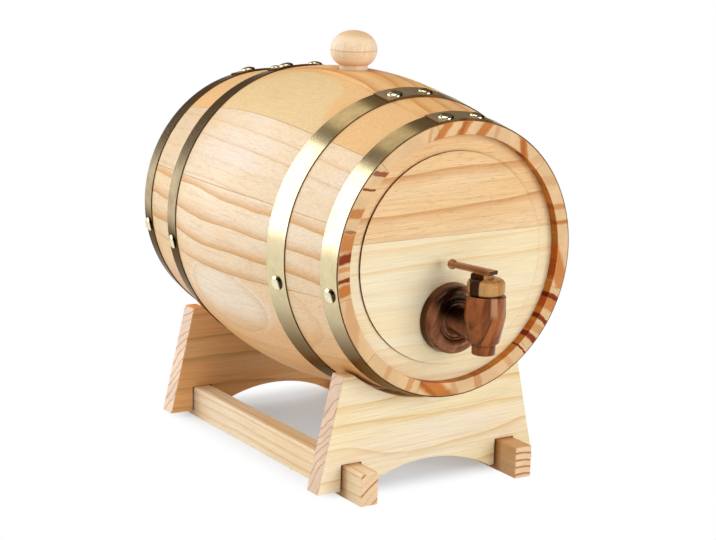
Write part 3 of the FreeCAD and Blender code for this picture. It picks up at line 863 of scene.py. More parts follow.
headShape = {
    "radius": 72.5 * mm,
    "panelRadius": 59.8 * mm,
    "panelRise": 0.9 * mm,
    "grooveWidth": 2.2 * mm,    # at the panel's foot
    "grooveDepth": 0.6 * mm,
    "jointHeight": 13.0 * mm,
    "jointGap": 0.03 * mm,
    "edge": 0.3 * mm,
}
headLooks = {
    "Upper": {"pale": (0.84, 0.58, 0.31), "warm": (0.82, 0.51, 0.23), "late": (0.62, 0.26, 0.07),
              "ringWidth": 20.5, "firstRing": 34.0, "lateWidth": 0.3, "lateShare": 1.0,
              "unevenness": 0.1, "waviness": 3.0, "poreDepth": 0.55, "fibre": 0.20},
    "Lower": {"pale": (0.86, 0.73, 0.49), "warm": (0.85, 0.68, 0.41), "late": (0.78, 0.50, 0.20),
              "ringWidth": 11.0, "firstRing": 5.0, "lateWidth": 0.3, "lateShare": 0.7,
              "unevenness": 0.7, "poreDepth": 0.12, "fibre": 0.14},
}
# painted shade: a dark brown for the groove's wall at the panel's foot
panelWallShadeLook = {
    "pale": (0.20, 0.075, 0.02), "warm": (0.15, 0.05, 0.012), "lateShare": 0.0, "specular": 0.1,
    "heartDepth": 400, "seed": 30.0,
}


def makeHeadDisc(side):
    # side is -1 at the front and 1 at the back
    outer = middle.y + side * (halfLength - caskShape["headRecess"])
    centre = Vector((middle.x, outer - side * caskShape["headThickness"] / 2, middle.z))
    disc = rod("headDisc", headShape["radius"], caskShape["headThickness"], centre, 240)
    settle(disc)
    editAll(disc)
    selectFacesTowards(disc, along * side)
    bpy.ops.mesh.inset(thickness=headShape["radius"] - headShape["panelRadius"] - headShape["grooveWidth"])
    bpy.ops.mesh.inset(thickness=headShape["grooveWidth"], depth=-headShape["grooveDepth"])
    rise = headShape["panelRise"] + headShape["grooveDepth"]
    bpy.ops.mesh.extrude_region_move(TRANSFORM_OT_translate={"value": along * side * rise})
    bpy.ops.object.mode_set(mode="OBJECT")
    return disc


def splitBoard(disc, name, side):
    # side is 1 for the board above the joint and -1 for the one below it
    board = copyPiece(disc, name, Matrix.Identity(4))
    editAll(board)
    height = middle.z + headShape["jointHeight"] + side * headShape["jointGap"]
    bpy.ops.mesh.bisect(
        plane_co=(0, 0, height), plane_no=(0, 0, 1), use_fill=True,
        clear_inner=side > 0, clear_outer=side < 0)
    closeUp(board)
    return board


def onPanelWall(spot, normal):
    # the wall of the groove on the panel's side, painted dark brown as shade, which shows as a dark line
    outward = outwardAt(spot)
    beyondPanel = (spot - middle).dot(outward) - headShape["panelRadius"]
    return normal.dot(outward) > 0.9 and abs(beyondPanel) < mm


def makeHeads():
    panelWallShade = makeTimber("pinePanelWallShade", pineLook, along, right, middle, **panelWallShadeLook)
    for place, side in (("front", -1), ("rear", 1)):
        disc = makeHeadDisc(side)
        for level, sign in (("Upper", 1), ("Lower", -1)):
            board = splitBoard(disc, "%sHead%sBoard" % (place, level), sign)
            if place == "front" and level == "Lower":
                centre = (middle.x, middle.y - halfLength, middle.z - tapHole["drop"])
                combine(board, rod("tapHoleCutter", tapHole["radius"], tapHole["length"], centre, 48))
            easeEdges(board, headShape["edge"])
            paintFaces(board, panelWallShade, onPanelWall)
            wood = makeTimber(
                "pine%sHead%s" % (place.title(), level), pineLook, right + up * 0.03,
                up - along * side * 0.3, middle, heartDepth=400, seed=20.0 + side + 3 * sign,
                **headLooks[level])
            finishPiece(board, "cask", "head_wood", wood, "%s_head_%s_board" % (place, level.lower()))
        bpy.data.objects.remove(disc)


makeHeads()
print("heads done")


# Brass. Its colour is painted darker, as painted shade and painted dark reflection, where the surface looks
# along a
# given way: this starts at the first of the two limits and is full at the second. grazing is what is left of
# the mirror image at a flat angle.
# the hoops: painted shade and dark reflection on their underside
brassLook = {
    "bright": (0.78, 0.67, 0.42), "dull": (0.72, 0.60, 0.36), "paintedShadeColour": (0.17, 0.115, 0.07),
    "paintedShade": (-0.15, -0.68), "paintedShadeWay": (0, 0, 1),
    "roughness": (0.17, 0.25), "brushing": 0.04, "grazing": (0.6, 0.5, 0.4),
}
# the rear hoops: the same brass with more painted shade, starting higher on them and darker, and a weaker
# mirror image at a flat angle
rearHoopShadeLook = {
    **brassLook, "bright": (0.78, 0.67, 0.49), "dull": (0.62, 0.52, 0.36), "paintedShadeColour": (0.09, 0.08, 0.07),
    "paintedShade": (0.03, -0.17), "grazing": (0.5, 0.42, 0.33),
}
lapLook = {
    **brassLook, "bright": (0.68, 0.57, 0.38), "dull": (0.56, 0.46, 0.30),
    "roughness": (0.42, 0.50), "grazing": (0.95, 0.88, 0.75),
}
# nails: a painted dark reflection on the side of each dome that looks forward; lap rivets: the same on the
# side that looks right
nailLook = {
    "bright": (0.90, 0.84, 0.62), "dull": (0.72, 0.64, 0.44), "paintedShadeColour": (0.05, 0.04, 0.02),
    "paintedShade": (-0.38, -0.58), "paintedShadeWay": (0, 0.9, -0.2),
    "roughness": (0.07, 0.14), "brushing": 0.01, "grazing": (0.8, 0.7, 0.4),
}
rivetLook = {**nailLook, "paintedShade": (-0.22, -0.42), "paintedShadeWay": (-0.85, 0.35, 0.1)}
# painted shade: the strip's cut edges are dark brown, a shadow line along each hoop and at the lap's end
edgeShadeLook = {     # the cut edges of the strip
    "bright": (0.17, 0.085, 0.03), "dull": (0.10, 0.045, 0.016), "paintedShadeColour": (0.06, 0.03, 0.012),
    "paintedShade": (0.0, -0.62), "paintedShadeWay": (0, 0, 1),
    "roughness": (0.5, 0.6), "brushing": 0.0, "grazing": (0.3, 0.17, 0.08),
}


def makeBrass(name, look):
    # the brushing runs round the cask: its noise changes along the axis and hardly round it
    material = newMaterial(name)
    tree = material.node_tree
    shader = shaderOf(material)
    coordinates = tree.nodes.new("ShaderNodeTexCoord").outputs
    centred = stretch(tree, coordinates["Object"], (1 / mm, 1 / mm, 1 / mm), tuple(-middle / mm))
    parts = addNode(tree, "ShaderNodeSeparateXYZ", {0: centred}).outputs
    turnedBy = calc(tree, "ARCTAN2", parts["Z"], parts["X"])
    roundPlace = addNode(tree, "ShaderNodeCombineXYZ", {
        0: parts["Y"], 1: calc(tree, "SINE", turnedBy), 2: calc(tree, "COSINE", turnedBy)})
    brushed = noise(tree, roundPlace.outputs[0], (9.0, 2.5, 2.5), detail=3.0, rough=0.6)
    smudge = noise(tree, centred, (0.12, 0.12, 0.12), detail=3.0, rough=0.6)
    colour = blendColour(tree, between(tree, smudge, 0.35, 0.7), (*look["bright"], 1), (*look["dull"], 1))
    # painted shade and dark reflection, by how far the normal looks along the given way
    first, second = look["paintedShade"]
    facing = measure(tree, "DOT_PRODUCT", coordinates["Normal"], look["paintedShadeWay"])
    paintedShade = between(tree, facing, second, first, 1.0, 0.0)
    smooth, rough = look["roughness"]
    worn = times(tree, plus(tree, brushed, smudge), 0.5)
    feedAll(tree, shader, {
        "Base Color": blendColour(tree, paintedShade, colour, (*look["paintedShadeColour"], 1)), "Metallic": 1.0,
        "Specular Tint": (*look["grazing"], 1), "Roughness": between(tree, worn, 0.3, 0.7, smooth, rough)})
    addBump(tree, shader, brushed, look["brushing"], 0.1 * mm)
    return material


# Hoops, rivets and nails.

hoopShape = {
    "thickness": 0.7 * mm,
    "edge": 0.16 * mm,
    "lapLength": 36.0 * mm,
    "rivetSpacing": 20.4 * mm,
    "rivetOffset": -2.0 * mm,   # of the rivets from the hoop's middle, along the cask
    "nailAngle": 10.0,
}
rivetShape = {"radius": 4.4 * mm, "height": 2.1 * mm, "rim": 0.3 * mm, "crown": 1.05}   # 1 is an ellipse
hoopNames = ["front_chime_hoop", "front_quarter_hoop", "rear_quarter_hoop", "rear_chime_hoop"]
lapAngles = {"front_chime_hoop": 88.0, "front_quarter_hoop": 91.3}     # the others lie at 90
hoopBrass = makeBrass("hoopBrass", brassLook)
lapBrass = makeBrass("lapBrass", lapLook)
rearHoopShadeBrass = makeBrass("rearHoopShadeBrass", rearHoopShadeLook)
rivetBrass = makeBrass("rivetBrass", rivetLook)
nailBrass = makeBrass("nailBrass", nailLook)
hoopEdgeShade = makeBrass("hoopEdgeShade", edgeShadeLook)


def hoopPlace(node):
    # its middle along the cask, and its width
    low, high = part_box(node)
    return (low.y + high.y) / 2 - middle.y, high.y - low.y


def hoopOutline(y, width, lift):
    # the strip lies on the slope, its two outer corners eased
    front, back = y - width / 2, y + width / 2
    ease = hoopShape["edge"]
    top = lift + hoopShape["thickness"]
    points = [
        (caskRadius(front) + lift, front), (caskRadius(back) + lift, back),
        (caskRadius(back) + top - ease, back), (caskRadius(back - ease) + top, back - ease),
        (caskRadius(front + ease) + top, front + ease), (caskRadius(front) + top - ease, front),
        (caskRadius(front) + lift, front),
    ]
    return [Vector(p) for p in points]


def onHoopEdge(spot, normal):
    return abs(normal.dot(outwardAt(spot))) < 0.8


def makeHoops():
    for node in hoopNames:
        y, width = hoopPlace(node)
        ring = [caskPoint(p.x, p.y) for p in hoopOutline(y, width, 0.0)]
        hoop = turn(plainName(node), ring, middle, along, 240)
        lapAngle = math.degrees(hoopShape["lapLength"] / caskRadius(y))
        start = lapAngles.get(node, 90.0) - lapAngle / 2
        strip = [caskPoint(p.x, p.y, start) for p in hoopOutline(y, width, hoopShape["thickness"])]
        lap = turn("hoopLap", strip, middle, along, 24, lapAngle)
        easeEdges(hoop, 0)
        easeEdges(lap, 0)
        hoop.data.materials.append(None)
        hoop.data.materials.append(lapBrass)
        lap.data.materials.append(lapBrass)
        hoop = joinPieces([hoop, lap])
        # the cut edges get the painted shade
        paintFaces(hoop, hoopEdgeShade, onHoopEdge)
        # the rear hoops take the brass with more painted shade
        finishPiece(hoop, "cask", "hoop_brass", hoopBrass if y < 0 else rearHoopShadeBrass, node)


def domeOutline():
    # from the middle of the flat side round to the crown
    radius, rim = rivetShape["radius"], rivetShape["rim"]
    profile = [Vector((0, 0)), Vector((radius * 0.97, 0)), Vector((radius, rim * 0.4))]
    for i in range(13):
        t = math.pi / 2 * i / 12
        height = (rivetShape["height"] - rim) * math.sin(t) ** rivetShape["crown"]
        profile.append(Vector((radius * math.cos(t), rim + height)))
    profile[-1].x = 0
    return profile


def makeDomes(name, places, material, node):
    # the heads lie flat on the hoop's slope
    domes = []
    for radius, y, angle in places:
        foot = caskPoint(radius, y)
        outline = [foot + Vector((p.y, p.x, 0)) for p in domeOutline()]
        dome = turn("dome", outline, foot, right, 32)
        easeEdges(dome, 0, sharp=50)
        tilt = Matrix.Rotation(math.copysign(slope, y), 4, "Z")
        dome.data.transform(caskTurn(angle) @ Matrix.Translation(foot) @ tilt @ Matrix.Translation(-foot))
        domes.append(dome)
    group = joinPieces(domes)
    group.name = group.data.name = name
    finishPiece(group, "cask", "rivet_brass", material, node)


def makeRivets():
    laps, nails = [], []
    for node in hoopNames:
        y, width = hoopPlace(node)
        row = y + hoopShape["rivetOffset"]
        centre = lapAngles.get(node, 90.0)
        swing = math.degrees(hoopShape["rivetSpacing"] / 2 / caskRadius(row))
        for angle in (centre - swing, centre + swing):
            laps.append((caskRadius(row) + 2 * hoopShape["thickness"], row, angle))
        for angle in (180 + hoopShape["nailAngle"], 360 - hoopShape["nailAngle"]):
            nails.append((caskRadius(y) + hoopShape["thickness"], y, angle))
    makeDomes("lapRivets", laps, rivetBrass, "hoop_lap_rivets")
    makeDomes("sideNails", nails, nailBrass, "hoop_side_nails")


makeHoops()
makeRivets()
print("hoops and rivets done")


# Bung: a turned knob on a tapered plug.

bungShape = {
    "neckRadius": 8.5 * mm,
    "neckHeight": 2.2 * mm,
    "knobRadius": 13.8 * mm,
    "knobHeight": 20.2 * mm,
    "lineHeight": 9.0 * mm,     # turned line above the knob's underside
    "lineDepth": 0.35 * mm,
    "lineWidth": 0.45 * mm,
    "fullness": 0.72,           # below the line, and then above it; 1 is an ellipse
    "topFullness": 0.92,
    "plugLength": 17.0 * mm,
    "plugEase": 0.5 * mm,
    "clearance": 0.06 * mm,
}
bungLook = {
    "pale": (0.90, 0.72, 0.54), "warm": (0.88, 0.66, 0.42), "late": (0.80, 0.52, 0.26),
    "deep": (0.74, 0.46, 0.22), "ringWidth": 8.0, "lateShare": 0.45, "poreDepth": 0.3,
    "heartDepth": 160, "seed": 41.0,
}


def bungOutline():
    shape = bungShape
    knob, line = shape["knobRadius"], shape["neckHeight"] + shape["lineHeight"]
    neck = shape["neckRadius"] - shape["clearance"]
    plug, ease = shape["plugLength"], shape["plugEase"]
    plugEnd = neck - plug * math.tan(math.radians(bungHole["taper"]))
    profile = [
        (0, -plug), (plugEnd - ease, -plug), (plugEnd, ease - plug), (neck, 0),
        (shape["neckRadius"], shape["neckHeight"]),
    ]
    lowest = math.acos((shape["neckRadius"] / knob) ** (1 / shape["fullness"]))
    lowerHeight = shape["lineHeight"] / math.sin(lowest)
    for i in range(1, 15):
        t = lowest * (1 - i / 15)
        profile.append((knob * math.cos(t) ** shape["fullness"], line - lowerHeight * math.sin(t)))
    half = shape["lineWidth"] / 2
    profile += [(knob, line - half), (knob - shape["lineDepth"], line), (knob, line + half)]
    upperHeight = shape["knobHeight"] - shape["lineHeight"]
    for i in range(1, 18):
        t = math.pi / 2 * i / 18
        profile.append((knob * math.cos(t) ** shape["topFullness"], line + upperHeight * math.sin(t)))
    return profile + [(0, shape["neckHeight"] + shape["knobHeight"])]


def makeBung():
    outline = [bungSeat + Vector((radius, 0, height)) for radius, height in bungOutline()]
    bung = turn("bungKnob", outline, bungSeat, up, 96)
    easeEdges(bung, 0, sharp=30)
    wood = makeTimber(
        "paleBungWood", pineLook, up + right * 0.15, right - along * 0.3, bungSeat, **bungLook)
    finishPiece(bung, "bung", "bung_wood", wood, "bung")


makeBung()
print("bung done")


# Tap. Heights are from the axis of its shank.

tapLow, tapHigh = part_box("tap_body")
tapCentre = Vector((middle.x, (tapLow.y + tapHigh.y) / 2, middle.z - tapHole["drop"]))
headFaceY = middle.y - halfLength + caskShape["headRecess"] - headShape["panelRise"]
tapShape = {
    "bore": 3.0 * mm,
    "shankRadius": 7.8 * mm,
    "shankStart": 4.0 * mm,     # of the shank inside the body, behind the body's axis
    "rosetteRadius": 20.1 * mm,
    "rosetteThickness": 9.5 * mm,
    "rosetteEase": (0.5 * mm, 0.1 * mm, 0.9 * mm, 0.2 * mm),    # start, end, depth and bulge of its back edge
    "crownRadius": 19.4 * mm,
    "sideHeight": 4.8 * mm,
    "grooveRadius": 11.6 * mm,
    "tailRadius": 7.0 * mm,
    "tailLength": 21.0 * mm,
    "tailTaper": 1.5,
    "bodyTop": 19.9 * mm,
    "topRadius": 11.0 * mm,
    "waistHeight": 8.2 * mm,
    "waistRadius": 11.4 * mm,
    "shoulderDrop": 6.8 * mm,
    "shoulderRadius": 8.4 * mm,
    "ease": 0.5 * mm,
    "nozzleRadius": 6.5 * mm,
    "nozzleLength": 6.3 * mm,
    "nozzleEase": (0.8 * mm, -0.33 * mm),   # size and bulge of its lower edge
    "outletRadius": 3.5 * mm,
    "socketRadius": 6.5 * mm,
    "socketTaper": 0.8 * mm,
    "wayIn": (4.5 * mm, 10 * mm, 11 * mm),  # radius, length and middle of the hole for the shank
}
# the rosette's turned front, in mm: out from its groove, behind its face, then the rise and steps of an arc
rosetteStops = [
    (0.4, 1.6, 3.07, 16),       # the crowned rim
    (0.1, 3.0),                 # down into the groove
    (-0.3, 2.2),
    (-1.3, 2.5, 0.4, 5),        # a bead
    (-3.8, 1.2, -1.3, 8),       # the sunk middle, up to the shank
]
# a fine ring round the nozzle, in mm: out from it and below the shoulder
nozzleStops = [(0.05, 1.2), (-0.15, 0.9), (0.1, 0.6), (0.3, 0.0)]
keyShape = {
    "headRadius": 10.4 * mm,
    "headHeight": 8.8 * mm,
    "lowerRound": (2.2 * mm, 2.4 * mm, -0.66 * mm, 6),      # in, up, rise and steps of the rounded edges
    "upperRound": (3.2 * mm, 3.4 * mm, -0.95 * mm, 8),
    "gap": 0.3 * mm,
    "flat": 9.9 * mm,           # from the axis to the flats that the fingers hold
    "flatSize": 20 * mm,
    "neckHeight": 2.5 * mm,
    "neckLength": (-1.8 * mm, 7.7 * mm),
    "neckWidth": 9.8 * mm,
    "neckEase": 1.1 * mm,
    "plugRadius": 5.5 * mm,
    "plugTaper": 2.0,
    "plugBottom": -3.9 * mm,
    "edge": 0.35 * mm,
}
leverShape = {
    "angle": 104.0,             # from +X towards +Y
    "longArm": 24.4 * mm,
    "shortArm": 5.0 * mm,
    "rootWidth": 7.4 * mm,
    "rootThickness": 2.2 * mm,
    "tipWidth": 3.8 * mm,
    "tipThickness": 3.2 * mm,
    "ball": 2.8 * mm,
    "edge": 0.45 * mm,
}
tapLooks = {
    "shank": {"pale": (0.20, 0.055, 0.020), "warm": (0.42, 0.16, 0.075),
              "heartDepth": 60, "seed": 51.0, "ringWidth": 4.0, "lateShare": 0.7, "fibre": 0.4},
    # side: near black, painted shade on the rosette's outer side
    "side": {"pale": (0.06, 0.018, 0.006), "warm": (0.09, 0.028, 0.009),
             "heartDepth": 60, "seed": 55.0, "lateShare": 0.3, "specular": 0.2},
    "body": {"pale": (0.16, 0.034, 0.010), "warm": (0.44, 0.125, 0.030),
             "heartDepth": 70, "seed": 52.0, "ringWidth": 5.5, "firstRing": 1.0, "fibre": 0.5},
    "key": {"pale": (0.46, 0.22, 0.065), "warm": (0.58, 0.31, 0.105), "late": (0.24, 0.09, 0.03),
            "cut": (0.42, 0.17, 0.05), "heartDepth": 60, "seed": 53.0, "ringWidth": 4.0, "lateShare": 0.5,
            "roughness": (0.2, 0.3), "specular": 0.3},
    # lever: its cut end is dark end grain with painted shade over it, near black
    "lever": {"pale": (0.36, 0.13, 0.05), "warm": (0.60, 0.30, 0.11), "late": (0.16, 0.04, 0.015),
              "cut": (0.03, 0.01, 0.005), "heartDepth": 30, "seed": 54.0, "ringWidth": 2.2, "lateShare": 0.7},
}
# a soft painted shadow, cast by the body and key, on the rosette at a place to the right of and above its
# middle
rosetteShadow = {
    "place": (-6.0 * mm, 12.0 * mm), "inner": 6.5 * mm, "outer": 14.0 * mm, "tint": (0.04, 0.028, 0.03, 1),
}
# a painted highlight: paler colour on the front of the body, above its waist
bodyHighlight = {
    "azimuth": -10.0, "half": 2.6 * mm, "soft": 1.3 * mm, "share": 0.7, "tint": (0.52, 0.25, 0.13, 1),
}
# painted shade, near black, down the side of the key that faces away from the key light; near and far are its
# ends along the lever, and how far they lean
keyShade = {
    "side": 3.6 * mm, "near": (-0.9 * mm, 0.26), "far": (-12.8 * mm, 0.95), "soft": 0.5 * mm,
    "tint": (0.045, 0.025, 0.03, 1),
}


def shankOutline():
    shape = tapShape
    front = tapCentre.y + shape["shankStart"]
    faceY = headFaceY - shape["rosetteThickness"]
    tailEnd = headFaceY + shape["tailLength"]
    tailThin = shape["tailRadius"] - shape["tailLength"] * math.tan(math.radians(shape["tailTaper"]))
    start, end, depth, bulge = shape["rosetteEase"]
    wide = shape["rosetteRadius"]
    stops = [
        (shape["bore"], front), (shape["bore"], tailEnd), (tailThin, tailEnd),
        (shape["tailRadius"], headFaceY),
        (wide - start, headFaceY), (wide - end, headFaceY - depth, bulge, 4),
        (shape["crownRadius"], headFaceY - shape["sideHeight"]),
    ]
    for out, behind, *arc in rosetteStops:
        stop = (shape["grooveRadius"] + out * mm, faceY + behind * mm)
        stops.append((*stop, arc[0] * mm, arc[1]) if arc else stop)
    stops += [(shape["shankRadius"], front), (shape["bore"], front)]
    return followStops(stops)


def onRosetteSide(spot, normal):
    fromAxis = (spot - tapCentre).cross(along).length
    return (abs(normal.y) < 0.6 and spot.y > headFaceY - tapShape["sideHeight"]
            and fromAxis > tapShape["crownRadius"] - 0.3 * mm)


def makeTapShank():
    outline = [Vector((tapCentre.x + p.x, p.y, tapCentre.z)) for p in shankOutline()]
    shank = turn("tapShank", outline, tapCentre, along, 96)
    easeEdges(shank, 0, sharp=38)
    wood = makeTimber(
        "walnutShank", walnutLook, up + right * 0.45, right - up * 0.45, tapCentre, **tapLooks["shank"])
    # the rosette's outer side gets painted shade
    rosetteSideShade = makeTimber("walnutRosetteSideShade", walnutLook, up, right, tapCentre, **tapLooks["side"])
    paintFaces(shank, rosetteSideShade, onRosetteSide)
    # painted shadow on the rosette, darkest round the given place
    tree = wood.node_tree
    sideways, upwards = rosetteShadow["place"]
    spot = tapCentre + right * sideways + up * upwards
    flat = vectorCalc(tree, "MULTIPLY", objectPlace(tree), (1, 0, 1))
    near = measure(tree, "DISTANCE", flat, (spot.x, 0, spot.z))
    share = between(tree, near, rosetteShadow["inner"], rosetteShadow["outer"], 1.0, 0.0)
    tintWood(wood, share, rosetteShadow["tint"])
    finishPiece(shank, "cask", "tap_wood", wood, "tap_shank")


def tapBodyOutline():
    shape = tapShape
    bottom = -shape["shoulderDrop"] - shape["nozzleLength"]
    nozzle, shoulder, ease = shape["nozzleRadius"], shape["shoulderRadius"], shape["ease"]
    nozzleEase, bulge = shape["nozzleEase"]
    plugBottom = keyShape["plugBottom"]
    stops = [
        (shape["outletRadius"], bottom), (nozzle - nozzleEase, bottom),
        (nozzle, bottom + nozzleEase, bulge, 4),
    ]
    stops += [(nozzle + out * mm, -shape["shoulderDrop"] - below * mm) for out, below in nozzleStops]
    stops += [
        (shoulder - ease, -shape["shoulderDrop"]), (shoulder, ease - shape["shoulderDrop"]),
        (shape["waistRadius"], shape["waistHeight"]),
        (shape["topRadius"], shape["bodyTop"] - ease), (shape["topRadius"] - ease, shape["bodyTop"]),
        (shape["socketRadius"], shape["bodyTop"]), (shape["socketRadius"] - shape["socketTaper"], plugBottom),
        (shape["outletRadius"], plugBottom), (shape["outletRadius"], bottom),
    ]
    return followStops(stops)


def makeTapBody():
    outline = [tapCentre + Vector((p.x, 0, p.y)) for p in tapBodyOutline()]
    body = turn("tapBody", outline, tapCentre, up, 96)
    radius, length, behind = tapShape["wayIn"]
    combine(body, rod("wayInCutter", radius, length, tapCentre + along * behind, 48))
    easeEdges(body, 0, sharp=18)
    wood = makeTimber(
        "walnutBody", walnutLook, up + right * 0.30, right - up * 0.30, tapCentre, **tapLooks["body"])
    # painted highlight on the front of the body, above its waist
    facing = aim(bodyHighlight["azimuth"], 0)
    half, soft, waist = bodyHighlight["half"], bodyHighlight["soft"], tapShape["waistHeight"]
    paintShading(wood, [
        (facing.cross(up), -half, soft - half), (up.cross(facing), -half, soft - half),
        (facing, 0.0, mm), (up, waist - mm, waist + 4 * mm),
    ], tapCentre, bodyHighlight["share"], bodyHighlight["tint"], "MIX")
    finishPiece(body, "cask", "tap_wood", wood, "tap_body")


def turnToLever(piece):
    # the key and its lever are drawn with the lever along +X
    turned = Matrix.Rotation(math.radians(leverShape["angle"]), 4, "Z")
    piece.data.transform(Matrix.Translation(tapCentre) @ turned)


def leverDirection():
    angle = math.radians(leverShape["angle"])
    return Vector((math.cos(angle), math.sin(angle), 0))


def keyOutline(seat, top):
    shape = keyShape
    wide = shape["headRadius"]
    plugLow = shape["plugRadius"] - (seat - shape["plugBottom"]) * math.tan(math.radians(shape["plugTaper"]))
    lowerIn, lowerUp, *lowerArc = shape["lowerRound"]
    upperIn, upperDown, *upperArc = shape["upperRound"]
    return followStops([
        (0, shape["plugBottom"]), (plugLow, shape["plugBottom"]), (shape["plugRadius"], seat),
        (wide - lowerIn, seat), (wide, seat + lowerUp, *lowerArc),
        (wide, top - upperDown), (wide - upperIn, top, *upperArc), (0, top),
    ])


def makeTapKey():
    shape = keyShape
    seat = tapShape["bodyTop"] + shape["gap"]
    top = seat + shape["headHeight"]
    underLever = top + shape["neckHeight"]
    outline = [Vector((p.x, 0, p.y)) for p in keyOutline(seat, top)]
    key = turn("tapKeyHead", outline, Vector((0, 0, 0)), up, 96)
    near, far = shape["neckLength"]
    neck = block("keyNeck", (far - near, shape["neckWidth"], underLever - top + 2 * mm),
                 ((near + far) / 2, 0, (top + underLever) / 2 - mm))
    easeEdges(neck, shape["neckEase"], segments=4)
    combine(key, neck, "UNION")
    size = shape["flatSize"]
    for side in (-1, 1):
        place = (0, side * (shape["flat"] + size / 2), seat + 5 * mm)
        combine(key, block("fingerFlat", (size, size, size), place))
    closeUp(key)
    easeEdges(key, shape["edge"], segments=3, sharp=40)
    turnToLever(key)
    wood = makeTimber("walnutKey", walnutLook, up, right, tapCentre, **tapLooks["key"])
    # painted shade down the key's side that faces away from the key light
    leverWay = leverDirection()
    darkWay = up.cross(leverWay)
    soft = keyShade["soft"]
    near, nearLean = keyShade["near"]
    far, farLean = keyShade["far"]
    paintShading(wood, [
        (darkWay, keyShade["side"], keyShade["side"] + soft),
        (leverWay + darkWay * nearLean, near, near + soft),
        (-leverWay - darkWay * farLean, far, far + soft),
    ], tapCentre, 1.0, keyShade["tint"])
    finishPiece(key, "tap_key", "tap_wood", wood, "tap_key")
    return underLever


def makeTapLever(level):
    # a flat bar at the key, narrower and thicker towards the ball at its end
    shape = leverShape
    reach, thickness = shape["longArm"], shape["rootThickness"]
    middleHeight = level + thickness / 2
    lever = block("tapLever", (reach + shape["shortArm"], shape["rootWidth"], thickness),
                  ((reach - shape["shortArm"]) / 2, 0, middleHeight))
    editAll(lever)
    bpy.ops.mesh.bisect(plane_co=(0, 0, 0), plane_no=(1, 0, 0))
    bpy.ops.object.mode_set(mode="OBJECT")
    for vertex in lever.data.vertices:
        vertex.select = vertex.co.x > reach - mm
    bpy.ops.object.mode_set(mode="EDIT")
    bpy.ops.transform.resize(
        value=(1, shape["tipWidth"] / shape["rootWidth"], shape["tipThickness"] / thickness),
        center_override=(0, 0, middleHeight))
    bpy.ops.object.mode_set(mode="OBJECT")
    easeEdges(lever, shape["edge"], segments=3, sharp=40)
    centre = Vector((reach, 0, middleHeight))
    turns = [math.pi * i / 20 for i in range(21)]
    half = [centre + Vector((math.sin(t) * shape["ball"], 0, -math.cos(t) * shape["ball"])) for t in turns]
    combine(lever, turn("leverBall", half, centre, up, 32), "UNION")
    easeEdges(lever, 0)
    turnToLever(lever)
    wood = makeTimber(
        "walnutLever", walnutLook, leverDirection(), right + up * 0.3, tapCentre, **tapLooks["lever"])
    finishPiece(lever, "tap_key", "tap_wood", wood, "tap_lever")


makeTapShank()
makeTapBody()
makeTapLever(makeTapKey())
print("tap done")


# Stand: two cradle boards with an arch below, and two rails through their notches.

standShape = {
    "topWidth": 118.4 * mm,
    "seatGap": 0.3 * mm,
    "archHalf": 43.0 * mm,
    "archRise": 11.0 * mm,
    "notchGap": 0.7 * mm,
    "edge": 0.7 * mm,
}
cradleLook = {
    "pale": (0.92, 0.76, 0.54), "warm": (0.90, 0.72, 0.43), "late": (0.76, 0.46, 0.14),
    "ringWidth": 15.0, "lateShare": 0.9, "lateWidth": 0.3, "unevenness": 0.25, "waviness": 6.0,
    "poreDepth": 0.12, "heartDepth": 300,
}
cradleEndLook = {
    "deep": (0.56, 0.27, 0.14), "ringWidth": 4.6, "lateShare": 0.5, "lateWidth": 0.35, "unevenness": 0.2,
    "waviness": 7.0, "heartDepth": 60,
}
cradles = {
    "front_cradle": {"seed": 61.0, "slant": -0.035, "end": (0.83, 0.60, 0.42), "look": {"firstRing": 25.0}},
    # the rear board's deeper orange is painted shade: its front face lies in the cask's shadow
    "rear_cradle": {"seed": 62.0, "slant": 0.02, "end": (0.88, 0.66, 0.48), "look": {
        "firstRing": 33.0, "pale": (1.0, 0.60, 0.28), "warm": (1.0, 0.53, 0.21), "late": (0.62, 0.31, 0.10)}},
}
railLook = {
    "late": (0.78, 0.44, 0.18), "cut": (0.86, 0.60, 0.35), "deep": (0.52, 0.19, 0.08),
    "ringWidth": 4.2, "lateShare": 0.75, "lateWidth": 0.45, "unevenness": 0.15, "heartDepth": 90,
}
rails = {
    "left_rail": {"seed": 71.0, "ringWay": up - right * 0.8, "look": {
        "firstRing": 1.0, "pale": (0.96, 0.79, 0.56), "warm": (0.95, 0.72, 0.44)}},
    # the right rail's deeper orange is painted shade: its inner side lies under the stand
    "right_rail": {"seed": 75.0, "ringWay": up, "look": {
        "firstRing": 2.5, "pale": (0.88, 0.55, 0.27), "warm": (0.85, 0.47, 0.20)}},
}
# painted shadow: the sawn faces of the notches are dark as the gap's shade, and so is each rail close to the
# board it comes out of, as contact shadow
notchShadow = {"rim": 0.4 * mm, "tint": (0.22, 0.11, 0.06, 1)}
railContactShadow = {"reach": 7 * mm, "tint": (0.62, 0.42, 0.26, 1)}


# painted shadow in the notches' gaps, on the board round each rail
def shadeNotches(material, railBoxes):
    rim = notchShadow["rim"]
    for low, high in railBoxes:
        half = (high.x - low.x) / 2 + standShape["notchGap"] + rim
        soft = rim / 2 - half
        paintShading(material, [(right, -half, soft), (-right, -half, soft), (-up, -rim, 0.0)],
              Vector(((low.x + high.x) / 2, 0, high.z)), 1.0, notchShadow["tint"])


